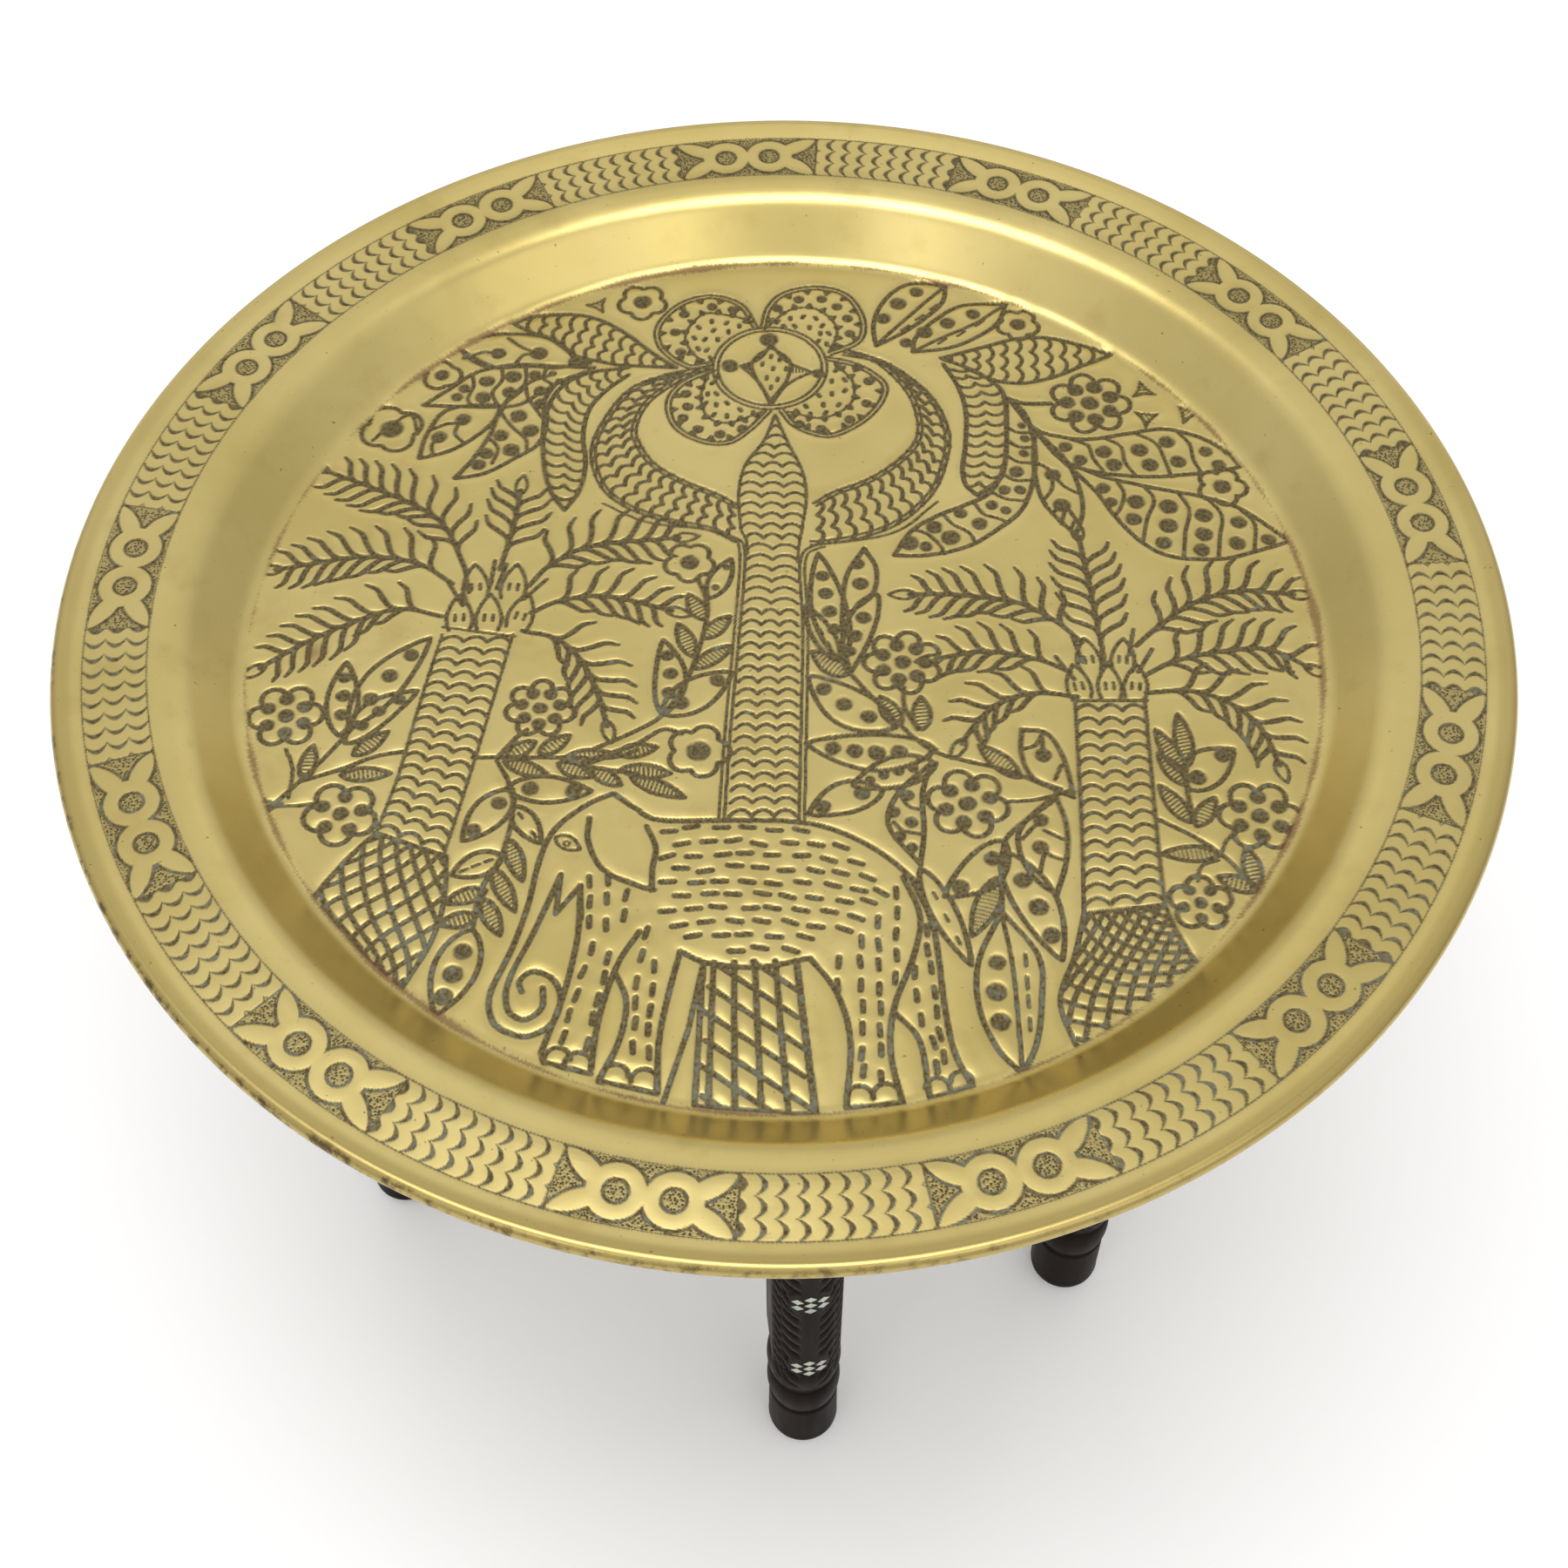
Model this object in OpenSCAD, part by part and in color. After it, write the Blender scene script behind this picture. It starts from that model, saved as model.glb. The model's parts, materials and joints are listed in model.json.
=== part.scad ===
// Brass tray table: a round tray with a wired rim, lying loose on a folding stand.
// The stand is three crossing frames of two legs and two rails, which turn on two pivot bolts.
// The floor is z = 0, the tray's centre is x = y = 0, and the front is -Y.

/* [Tray] */
// Diameter over the rolled rim
tray_d = 600; // [480:10:760]
// Height of the flat border above the floor
rim_h = 420; // [350:5:520]
// Thickness of the brass sheet
sheet_t = 1.5; // [1:0.1:2.2]
// Depth of the well below the border
well_depth = 25.5; // [15:0.5:40]
// Width of the plain band between the border and the rolled rim
edge_band_w = 12.6; // [11:0.2:24]
// Width of the decorated border
border_w = 25.8; // [15:0.2:40]
// Width of the plain band between the border and the shoulder
inner_band_w = 12.8; // [8:0.2:24]
// Width that the sloping wall takes up
wall_run = 20.8; // [14:0.2:32]
// Drop from the border to the shoulder
shoulder_drop = 3.3; // [1:0.1:6]
// Rise from the border to the rolled rim
edge_rise = 2.5; // [0:0.1:4]
// Bend radius where the wall meets the well floor and the shoulder
bend_r = 5; // [3:0.5:8]
// Diameter of the wire inside the rolled rim
wire_d = 4; // [3:0.2:6]

/* [Legs] */
// Width of a leg between its flat sides
leg_w = 33; // [26:0.5:40]
// Radius of a leg's rounded outer face
leg_face_r = 18.5; // [15.5:0.5:24]
// Distance from a leg's axis to its flat back
leg_back = 14; // [11:0.5:18]
// Distance that the leg faces stay inside the edge of the well
leg_inset = 7; // [2:1:40]
// Diameter of the turned foot
foot_d = 35; // [28:0.5:42]
// Height of the turned foot, up to its groove
foot_h = 43; // [30:1:60]
// Diameter of the turned rings
ring_d = 36; // [30:0.5:44]
// Height of each turned ring
ring_h = 25; // [16:1:34]
// Diameter at the bottom of the grooves
groove_d = 32.5; // [26:0.5:35]
// Height of the groove between two turnings
groove_h = 3; // [2:0.5:5]
// Height of the turned cap under the tray
cap_h = 15; // [10:1:24]

/* [Rails] */
// Width of a rail
rail_w = 22; // [18:0.5:30]
// Thickness of a rail
rail_t = 12; // [9:0.5:15]
// Height of the lowest rail's underside
lower_rail_z = 140; // [115:1:160]
// Width of a tenon
tenon_w = 14; // [10:0.5:18]
// Length of a tenon
tenon_len = 16; // [10:0.5:20]
// Diameter of the pegs that lock the tenons
peg_d = 6; // [4:0.5:8]
// Diameter of a rail's round middle
hub_d = 34; // [26:1:44]

/* [Pivots] */
// Diameter of a pivot bolt
bolt_d = 6; // [5:0.5:8]
// Diameter of a bolt's domed head
head_d = 14; // [12:0.5:18]
// Height of a bolt's domed head
head_h = 4; // [3:0.5:5]
// Width of a nut across its flats
nut_w = 10; // [9:0.5:14]
// Height of a nut
nut_h = 5; // [4:0.5:7]
// Diameter of a washer
washer_d = 18; // [15:0.5:24]
// Thickness of a washer
washer_t = 1; // [0.8:0.1:2]

/* [Inlay] */
// Width of one mother-of-pearl diamond
pearl_w = 5.6; // [4:0.1:6.2]
// Height of one mother-of-pearl diamond
pearl_h = 5.4; // [4:0.1:6]
// Thickness of one mother-of-pearl diamond
pearl_t = 1.2; // [0.8:0.1:2]
// Height between two diamonds of one column
pearl_pitch = 6.4; // [6.2:0.1:8]
// Angle round the leg between two columns
pearl_turn = 18.5; // [18:0.5:24]
// Height of the lowest cluster's middle
cluster_z = 109; // [108:1:120]
// Height between two clusters
cluster_pitch = 77; // [50:1:100]

/* [Stand pose] */
// Turn of frame A, whose front leg stands nearest
frame_a_turn = -83; // [-88:1:-78]
// Turn of frame B, to the right
frame_b_turn = -36; // [-60:1:-20]
// Turn of frame C, to the left
frame_c_turn = -160; // [-175:1:-120]
// Place of the stand's pivot to the right of the tray's centre
stand_x = -15; // [-20:1:20]
// Place of the stand's pivot behind the tray's centre
stand_y = 4; // [-20:1:20]

/* [Hidden] */
$fn = 96;
running_gap = 0.05;                       // radial clearance of bolts, pegs and the rim wire
glue_gap = 0.1;                           // clearance round a tenon and an inlaid diamond
slack = 0.02;                             // play between flat faces that turn on each other
roll_turn = 255;                          // turn past the top at which the rolled rim ends
roll_start = 8;                           // turn to the second point of the roll's outer arc

rim_r = tray_d / 2;
wire_r = wire_d / 2;
curl_r = wire_r + running_gap + sheet_t;  // outer radius of the roll round the wire
curl_z = edge_rise - curl_r;              // height of the wire above the border
edge_tilt = let (to_wire = [edge_band_w - curl_r, curl_z])  // slope of the outer band
    atan2(to_wire.y, to_wire.x) + asin(curl_r / norm(to_wire));
border_out = rim_r - edge_band_w;
border_in = border_out - border_w;
shoulder_r = border_in - inner_band_w;
well_r = shoulder_r - wall_run;

leg_h = rim_h - well_depth - sheet_t - slack;  // legs reach up to the tray's underside
leg_r = well_r - leg_inset - leg_face_r;  // from the pivot to a leg's axis
rings_z = foot_h + groove_h;              // underside of the first turned ring
shaft_z = rings_z + 2 * ring_h + 2 * groove_h;  // underside of the flat-sided shaft
shaft_top = leg_h - cap_h;
foot_round = 8;                           // rounding of the foot's lower edge
foot_taper = 0.5;                         // narrowing of the foot towards its groove

layer = rail_t + washer_t + 2 * slack;    // height between two rails of a stack
rail_margin = 3;                          // from the top rail to the top of the shaft
upper_rail_z = shaft_top - rail_margin - 3 * layer;  // underside of the lowest upper rail
bolt_tail = 2;                            // length of bolt that shows below its nut
past = 1;                                 // how far a cut runs past the solid that it opens
rail_half = leg_r - leg_back;             // from the pivot to a rail's shoulder
clusters = floor((shaft_top - pearl_pitch * 1.5 - cluster_z) / cluster_pitch) + 1;

// ---- outlines ----

function unit(v) = v / norm(v);
function left(v) = [-v.y, v.x];

// A rounded corner at b between a and c, which starts and ends at the distance reach from b.
function corner(a, b, c, reach, steps = 5) =
    let (from = b + unit(a - b) * reach, to = b + unit(c - b) * reach)
    [for (k = [0:steps]) let (s = k / steps)
        from * pow(1 - s, 2) + b * 2 * s * (1 - s) + to * pow(s, 2)];

// The point that lies t below point i of an outline, square to the outline there.
function below(p, i, t) =
    let (before = unit(left(p[max(i, 1)] - p[max(i, 1) - 1])),
         after = unit(left(p[min(i, len(p) - 2) + 1] - p[min(i, len(p) - 2)])),
         n = unit(before + after))
    p[i] - n * t / (n * before);

// The tray's upper surface from its centre to where it runs into the rolled rim.
function tray_top() =
    let (centre = [0, -well_depth], well = [well_r, -well_depth],
         shoulder = [shoulder_r, -shoulder_drop], inner = [border_in, 0],
         outer = [border_out, 0])
    concat([centre], corner(centre, well, shoulder, bend_r),
        corner(well, shoulder, inner, bend_r), corner(shoulder, inner, outer, bend_r),
        [outer, on_roll(curl_r, -edge_tilt)]);

// The point of a circle round the wire that lies turn degrees past its top, outwards.
function on_roll(r, turn) = [rim_r - curl_r + r * sin(turn), curl_z + r * cos(turn)];

// An arc round the wire between two turns past the top of the roll.
function roll(r, from, to, steps = 20) =
    [for (k = [0:steps]) on_roll(r, from + (to - from) * k / steps)];

// A turned swelling from height z to z + h, between two grooves.
function swelling(z, h, steps = 8) =
    [for (k = [0:steps])
        [(groove_d + (ring_d - groove_d) * pow(sin(180 * k / steps), 0.6)) / 2, z + h * k / steps]];

module foot_outline() {
    foot_r = foot_d / 2;
    polygon(concat(
        [[0, 0]],
        [for (a = [0:15:90])
            [foot_r - foot_round * (1 - sin(a)), foot_round * (1 - cos(a))]],
        [[foot_r - foot_taper, foot_h], [groove_d / 2, rings_z - groove_h / 2]],
        swelling(rings_z, ring_h),
        swelling(rings_z + ring_h + groove_h, ring_h),
        [[groove_d / 2, shaft_z], [0, shaft_z]]));
}

module cap_outline() {
    polygon(concat(
        [[0, shaft_top], [groove_d / 2, shaft_top]],
        swelling(shaft_top, cap_h - groove_h),
        [[groove_d / 2, leg_h], [0, leg_h]]));
}

module shaft_section() {
    intersection() {
        translate([-leg_back, -leg_w / 2]) square([leg_back + leg_face_r, leg_w]);
        union() {
            circle(leg_face_r);
            translate([-leg_back, -leg_w / 2])
                square([leg_back + sqrt(pow(leg_face_r, 2) - pow(leg_w / 2, 2)), leg_w]);
        }
    }
}

// ---- shared pieces; a leg's own frame has its axis on Z and its outer face towards +X ----

module at_pivot(turn) {
    translate([stand_x, stand_y, 0]) rotate(turn) children();
}

module at_leg(turn) {
    at_pivot(turn) translate([leg_r, 0, 0]) children();
}

// One upright diamond, grown on all sides, from its seat out past the leg's face.
module diamond(grow, proud) {
    across = pearl_w / 2 + grow;
    up = pearl_h / 2 + grow;
    translate([leg_face_r - pearl_t, 0, 0]) rotate([0, 90, 0])
        linear_extrude(pearl_t + proud) polygon([[up, 0], [0, across], [-up, 0], [0, -across]]);
}

// All the diamonds of a leg: each cluster has columns of two, three and two.
module diamonds(grow = 0, proud = 0) {
    for (c = [0:clusters - 1], column = [-1:1]) {
        count = column == 0 ? 3 : 2;
        for (k = [0:count - 1])
            translate([0, 0, cluster_z + c * cluster_pitch + (k - (count - 1) / 2) * pearl_pitch])
                rotate(column * pearl_turn) diamond(grow, proud);
    }
}

// The holes that a rail of underside z needs in its leg: the mortise and the peg's hole.
module mortise(z) {
    translate([-leg_back - past, -tenon_w / 2 - glue_gap, z - glue_gap])
        cube([tenon_len + past + glue_gap, tenon_w + 2 * glue_gap, rail_t + 2 * glue_gap]);
    peg_line(z) peg_shape(running_gap, leg_w + 2 * past);
}

// Puts a peg's middle through the middle of the tenon, across the leg.
module peg_line(z) {
    translate([tenon_len / 2 - leg_back, 0, z + rail_t / 2]) rotate([90, 0, 0]) children();
}

module peg_shape(gap, length) {
    cylinder(d = peg_d + 2 * gap, h = length, center = true);
}

// A hole for a pivot bolt up through a piece of height h that stands on z = 0.
module bolt_hole(h) {
    translate([0, 0, -past]) cylinder(d = bolt_d + 2 * running_gap, h = h + 2 * past);
}

// A leg with mortises for the rails of its frame's place in the two stacks.
module leg(place) {
    color("#34241f") difference() {
        union() {
            rotate_extrude() foot_outline();
            translate([0, 0, shaft_z]) linear_extrude(shaft_top - shaft_z) shaft_section();
            rotate_extrude() cap_outline();
        }
        for (z = [lower_rail_z, upper_rail_z]) mortise(z + place * layer);
        diamonds(glue_gap / 2, past);
    }
}

// A rail with a tenon at each end and a round middle on the pivot bolt.
module rail(z, place) {
    at_height = z + place * layer;
    color("#3a2822") translate([0, 0, at_height]) difference() {
        union() {
            translate([-rail_half, -rail_w / 2, 0]) cube([2 * rail_half, rail_w, rail_t]);
            translate([-rail_half - tenon_len, -tenon_w / 2, 0])
                cube([2 * (rail_half + tenon_len), tenon_w, rail_t]);
            cylinder(d = hub_d, h = rail_t);
        }
        bolt_hole(rail_t);
        for (side = [0, 180])
            rotate(side) translate([leg_r, 0, 0]) peg_line(0)
                peg_shape(running_gap, tenon_w + 2 * past);
    }
}

// The four pegs of a frame, cut flush with the legs' flat sides.
module pegs(place) {
    color("#5a4034")
        for (side = [0, 180], z = [lower_rail_z, upper_rail_z])
            rotate(side) translate([leg_r, 0, 0]) peg_line(z + place * layer)
                peg_shape(0, leg_w);
}

module inlay() {
    color("#d9dccf") diamonds();
}

// A bolt with its domed head on top of a stack of rails whose underside is z.
module bolt(z) {
    top = z + 3 * layer - slack;
    foot = z - slack - washer_t - nut_h - bolt_tail;
    dome_r = (pow(head_d / 2, 2) + pow(head_h, 2)) / (2 * head_h);
    color("#6b675f") at_pivot(0) {
        translate([0, 0, foot]) cylinder(d = bolt_d, h = top - foot);
        translate([0, 0, top]) rotate_extrude() intersection() {
            translate([0, head_h - dome_r]) circle(dome_r);
            square([head_d / 2, head_h]);
        }
    }
}

module nut(z) {
    color("#6b675f") at_pivot(0) translate([0, 0, z - slack - washer_t - nut_h]) difference() {
        cylinder(d = nut_w / cos(30), h = nut_h, $fn = 6);
        bolt_hole(nut_h);
    }
}

// A washer under each rail of a stack and one on top.
module washers(z) {
    color("#8d867a") at_pivot(0)
        for (k = [0:3]) translate([0, 0, z - slack - washer_t + k * layer]) difference() {
            cylinder(d = washer_d, h = washer_t);
            bolt_hole(washer_t);
        }
}

// ---- the sub-parts ----

module tray() {
    top = tray_top();
    color("#b9a659") translate([0, 0, rim_h]) rotate_extrude($fn = 180)
        polygon(concat(top,
            roll(curl_r, roll_start - edge_tilt, roll_turn),
            roll(wire_r + running_gap, roll_turn, -edge_tilt),
            [for (i = [len(top) - 2:-1:0]) below(top, i, sheet_t)]));
}

module rim_wire() {
    color("#77736b") translate([0, 0, rim_h + curl_z])
        rotate_extrude($fn = 180) translate([rim_r - curl_r, 0]) circle(wire_r);
}

module front_leg_a() { at_leg(frame_a_turn) leg(2); }
module rear_leg_a() { at_leg(frame_a_turn + 180) leg(2); }
module upper_rail_a() { at_pivot(frame_a_turn) rail(upper_rail_z, 2); }
module lower_rail_a() { at_pivot(frame_a_turn) rail(lower_rail_z, 2); }
module pegs_a() { at_pivot(frame_a_turn) pegs(2); }
module front_inlay_a() { at_leg(frame_a_turn) inlay(); }
module rear_inlay_a() { at_leg(frame_a_turn + 180) inlay(); }

module front_leg_b() { at_leg(frame_b_turn) leg(1); }
module rear_leg_b() { at_leg(frame_b_turn + 180) leg(1); }
module upper_rail_b() { at_pivot(frame_b_turn) rail(upper_rail_z, 1); }
module lower_rail_b() { at_pivot(frame_b_turn) rail(lower_rail_z, 1); }
module pegs_b() { at_pivot(frame_b_turn) pegs(1); }
module front_inlay_b() { at_leg(frame_b_turn) inlay(); }
module rear_inlay_b() { at_leg(frame_b_turn + 180) inlay(); }

module front_leg_c() { at_leg(frame_c_turn) leg(0); }
module rear_leg_c() { at_leg(frame_c_turn + 180) leg(0); }
module upper_rail_c() { at_pivot(frame_c_turn) rail(upper_rail_z, 0); }
module lower_rail_c() { at_pivot(frame_c_turn) rail(lower_rail_z, 0); }
module pegs_c() { at_pivot(frame_c_turn) pegs(0); }
module front_inlay_c() { at_leg(frame_c_turn) inlay(); }
module rear_inlay_c() { at_leg(frame_c_turn + 180) inlay(); }

module upper_bolt() { bolt(upper_rail_z); }
module upper_nut() { nut(upper_rail_z); }
module upper_washers() { washers(upper_rail_z); }
module lower_bolt() { bolt(lower_rail_z); }
module lower_nut() { nut(lower_rail_z); }
module lower_washers() { washers(lower_rail_z); }

tray();
rim_wire();
front_leg_a();
rear_leg_a();
upper_rail_a();
lower_rail_a();
pegs_a();
front_inlay_a();
rear_inlay_a();
front_leg_b();
rear_leg_b();
upper_rail_b();
lower_rail_b();
pegs_b();
front_inlay_b();
rear_inlay_b();
front_leg_c();
rear_leg_c();
upper_rail_c();
lower_rail_c();
pegs_c();
front_inlay_c();
rear_inlay_c();
upper_bolt();
upper_nut();
upper_washers();
lower_bolt();
lower_nut();
lower_washers();
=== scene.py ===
"""The looks of a brass tray table: an engraved tray on a folding stand of six carved legs.

Lengths are in metres, except those of the engraving and of the outlines of the tray and the legs,
which are in millimetres. The engraving is laid out from above: its origin is the tray's centre, and
+y points away from the viewer."""

import json
import math

import bpy
import numpy as np
from mathutils import Euler, Matrix, Vector


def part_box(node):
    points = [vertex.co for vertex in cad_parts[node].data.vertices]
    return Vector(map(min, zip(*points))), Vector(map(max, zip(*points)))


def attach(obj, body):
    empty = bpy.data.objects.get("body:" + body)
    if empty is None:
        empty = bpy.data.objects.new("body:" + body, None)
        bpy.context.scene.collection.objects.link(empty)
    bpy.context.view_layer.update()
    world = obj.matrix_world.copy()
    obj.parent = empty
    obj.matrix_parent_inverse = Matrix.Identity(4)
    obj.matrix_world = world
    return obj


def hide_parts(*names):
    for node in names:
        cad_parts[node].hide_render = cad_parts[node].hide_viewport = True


MM = 0.001
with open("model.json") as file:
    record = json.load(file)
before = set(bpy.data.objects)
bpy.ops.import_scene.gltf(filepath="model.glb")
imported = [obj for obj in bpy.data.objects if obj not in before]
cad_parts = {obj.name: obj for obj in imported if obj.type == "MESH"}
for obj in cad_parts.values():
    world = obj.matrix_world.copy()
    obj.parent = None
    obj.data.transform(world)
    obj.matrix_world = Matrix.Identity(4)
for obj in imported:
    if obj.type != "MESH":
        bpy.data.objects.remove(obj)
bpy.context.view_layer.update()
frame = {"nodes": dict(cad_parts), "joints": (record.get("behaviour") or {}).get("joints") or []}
PIVOT = Vector(frame["joints"][0]["pos_m"])             # where the stand's frames cross


# ---- camera, light and floor ----

SENSOR, LENS = 36, 52.9             # the camera's sensor width and focal length, in millimetres
CAMERA_PLACE = (0, -0.611, 1.160)
CAMERA_TILT = 34.87                 # degrees away from looking straight down
FLOOR_SIZE = 8
FLOOR_SHADE = 0.93
FLOOR_GLOW = 0.13                   # keeps the shadows on the floor pale

SKY = [     # axis, where along it a part of the sky starts and is full, and its strength at both
    ("Z", 0.0, 0.70, 0.52, 0.72),       # from the horizon up
    ("Z", 0.920, 0.955, 0.0, 0.36),     # overhead
    ("Y", 0.71, 0.77, 0.0, 0.55),       # a bright band beyond the table
    ("Y", 0.78, 0.84, 0.0, -0.46),      # and its lower edge
    ("Y", -0.10, -0.65, 0.0, 0.16),     # behind the viewer
]
SOFTBOXES = [   # name, place, target, size, power in watts
    ("overhead", (-0.2, -0.25, 3.0), (-0.1, 0, 0.4), (1.8, 1.0), 25),
    ("key", (-0.87, -1.55, 2.2), (0, 0, 0.4), (0.32, 0.55), 1.6),
    ("fill", (1.5, -1.2, 2.1), (0, 0, 0.4), (1.0, 1.0), 2),
    ("window", (0.66, -1.55, 2.2), (0, 0, 0.4), (0.3, 0.55), 1.4),
]


def place_object(name, data):
    """A new object in the scene."""
    made = bpy.data.objects.new(name, data)
    bpy.context.scene.collection.objects.link(made)
    return made


def add_camera():
    """The camera stands in front of the table and looks down on it."""
    data = bpy.data.cameras.new("camera")
    data.sensor_width = SENSOR
    data.lens = LENS
    camera = place_object("camera", data)
    camera.location = CAMERA_PLACE
    camera.rotation_euler = Euler((math.radians(CAMERA_TILT), 0, 0))
    bpy.context.scene.camera = camera


def add_softbox(name, place, target, size, power):
    data = bpy.data.lights.new(name, "AREA")
    data.shape = "RECTANGLE"
    data.size, data.size_y = size
    data.energy = power
    lamp = place_object(name, data)
    lamp.location = place
    look = Vector(target) - Vector(place)
    lamp.rotation_euler = look.to_track_quat("-Z", "Y").to_euler()


def add_surroundings():
    """A white studio: a sky of soft bands, softboxes, and a pale floor."""
    world = bpy.data.worlds.new("room")
    world.use_nodes = True
    bpy.context.scene.world = world
    g = Graph(world.node_tree)
    way = g.add("SeparateXYZ", {0: g.add("TexCoord").outputs["Generated"]}).outputs
    strength = 0.0
    for axis, *ramp in SKY:
        strength = g.plus(strength, g.ease(way[axis], *ramp))
    background = g.tree.nodes["Background"].inputs
    g.plug(background["Strength"], strength)
    g.plug(background["Color"], (1, 1, 1, 1))
    for softbox in SOFTBOXES:
        add_softbox(*softbox)

    bpy.ops.mesh.primitive_plane_add(size=FLOOR_SIZE, location=(0, 0, 0))
    floor = bpy.context.object
    floor.name = "floor"
    paint, g = material("floor_white")
    g.give("Base Color", (FLOOR_SHADE, FLOOR_SHADE, FLOOR_SHADE, 1))
    g.give("Roughness", 0.9)
    g.give("Specular IOR Level", 0.1)
    g.give("Emission Color", (1, 1, 1, 1))
    g.give("Emission Strength", FLOOR_GLOW)
    floor.data.materials.append(paint)


# ---- lines on the engraving plate, in millimetres ----

PLATE_HALF, PLATE_STEP = 300, 0.25
GROOVE = 1.9                        # width of a bold chased line
FINE = 1.2                          # width of a fine line
HATCH = 0.8                         # width of hatching
WEIGHT = 1.4                        # how much wider than drawn the tool's edge opens a line


def unit(v):
    return v / max(np.linalg.norm(v), 1e-9)


def smooth(points, closed=False, steps=7):
    """A curve that runs through the points."""
    p = np.array(points, float)
    if closed:
        p = np.vstack([p[-1], p, p[0], p[1]])
    else:
        p = np.vstack([2 * p[0] - p[1], p, 2 * p[-1] - p[-2]])
    t = (np.arange(steps) / steps)[:, None]
    pieces = []
    for a, b, c, d in zip(p[:-3], p[1:-2], p[2:-1], p[3:]):
        bend, twist = 2 * a - 5 * b + 4 * c - d, 3 * b - a - 3 * c + d
        pieces.append(b + 0.5 * t * (c - a + t * (bend + t * twist)))
    return np.vstack(pieces + [p[-2]])


def lengths(points):
    return np.concatenate([[0], np.cumsum(np.hypot(*np.diff(points, axis=0).T))])


def at_share(points, share):
    """The points that lie at these shares of a line's length."""
    run = lengths(points)
    where = np.asarray(share, float) * run[-1]
    return np.stack([np.interp(where, run, points[:, 0]), np.interp(where, run, points[:, 1])], -1)


def heading(points, share):
    return unit(at_share(points, min(share + 0.02, 1)) - at_share(points, max(share - 0.02, 0)))


def left_of(v):
    return np.array([-v[1], v[0]])


def beside(points, distance):
    """A line that runs beside another, to its left."""
    ahead = np.gradient(points, axis=0)
    ahead /= np.maximum(np.hypot(*ahead.T)[:, None], 1e-9)
    return points + distance * np.stack([-ahead[:, 1], ahead[:, 0]], -1)


def circle(x, y, r, steps=40):
    a = np.linspace(0, 2 * math.pi, steps + 1)
    return np.stack([x + r * np.cos(a), y + r * np.sin(a)], -1)


class Plate:
    """A square grid over the tray that holds how deep each spot is cut, from 0 to 1."""

    def __init__(self, half, step):
        self.half, self.step = half, step
        self.axis = np.arange(-half, half + step / 2, step, dtype=np.float32)
        self.cut = np.zeros((len(self.axis),) * 2, np.float32)

    def window(self, low, high):
        """The grid's rows or columns that cover a span."""
        first = max(int((low + self.half) / self.step), 0)
        last = min(int((high + self.half) / self.step) + 2, len(self.axis))
        return first, last

    def segment(self, a, b, width, depth):
        """Cuts one straight stroke with rounded ends."""
        reach = WEIGHT * width / 2
        i, j = self.window(min(a[0], b[0]) - reach, max(a[0], b[0]) + reach)
        k, m = self.window(min(a[1], b[1]) - reach, max(a[1], b[1]) + reach)
        x, y = self.axis[i:j][None] - a[0], self.axis[k:m][:, None] - a[1]
        dx, dy = b[0] - a[0], b[1] - a[1]
        t = np.clip((x * dx + y * dy) / max(dx * dx + dy * dy, 1e-9), 0, 1)
        share = ((x - t * dx) ** 2 + (y - t * dy) ** 2) / reach ** 2
        part = self.cut[k:m, i:j]
        np.maximum(part, depth * np.clip(1 - share, 0, 1) ** 0.7, out=part)

    def line(self, points, width=GROOVE, depth=1.0):
        points = np.array(points, float)
        for a, b in zip(points[:-1], points[1:]):
            self.segment(a, b, width, depth)

    def lines(self, several, width=GROOVE):
        for points in several:
            self.line(points, width)

    def curve(self, points, closed=False, width=GROOVE, depth=1.0):
        self.line(smooth(points, closed), width, depth)

    def swell(self, points, width):
        """A stroke that is widest in its middle."""
        share = (np.arange(len(points) - 1) + 0.5) / (len(points) - 1)
        for a, b, part in zip(points[:-1], points[1:], 0.62 + 0.38 * np.sin(math.pi * share)):
            self.segment(a, b, width * part, 1.0)

    def dot(self, x, y, r):
        """A punched dot with a sharper rim."""
        self.segment((x, y), (x, y), 2 * r, 0.72)
        self.line(circle(x, y, r * 0.8, 16), min(1.0, r * 0.5), 1.0)

    def dots(self, spots):
        for x, y, r in spots:
            self.dot(x, y, r)

    def dash(self, x, y, length, turn, width=1.9):
        step = np.array([math.cos(math.radians(turn)), math.sin(math.radians(turn))]) * length / 2
        self.segment(np.array([x, y]) - step, np.array([x, y]) + step, width, 0.9)


# ---- motifs ----

def scallops(plate, left, right, pitch=5.9, arc=9.5, rise=2.7, width=1.6):
    """Rows of arcs from one edge of a band to the other, which bulge towards the band's far end."""
    middle = (at_share(left, np.linspace(0, 1, 60)) + at_share(right, np.linspace(0, 1, 60))) / 2
    rows = max(int(lengths(middle)[-1] / pitch), 1)
    for k in range(rows):
        share = (k + 0.35) / rows
        a, b = at_share(left, share), at_share(right, share)
        count = max(1, round(np.linalg.norm(b - a) / arc))
        u = np.linspace(0, 1, count * 7 + 1)[:, None]
        hump = np.abs(np.sin(math.pi * count * u)) ** 0.8
        plate.line(a + (b - a) * u + heading(middle, share) * rise * hump, width, 0.95)


def scallop_band(plate, left, right, width=GROOVE, **rows):
    """A band with drawn edges, filled with scallops."""
    left, right = smooth(left), smooth(right)
    plate.lines((left, right), width)
    scallops(plate, left, right, **rows)


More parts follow.
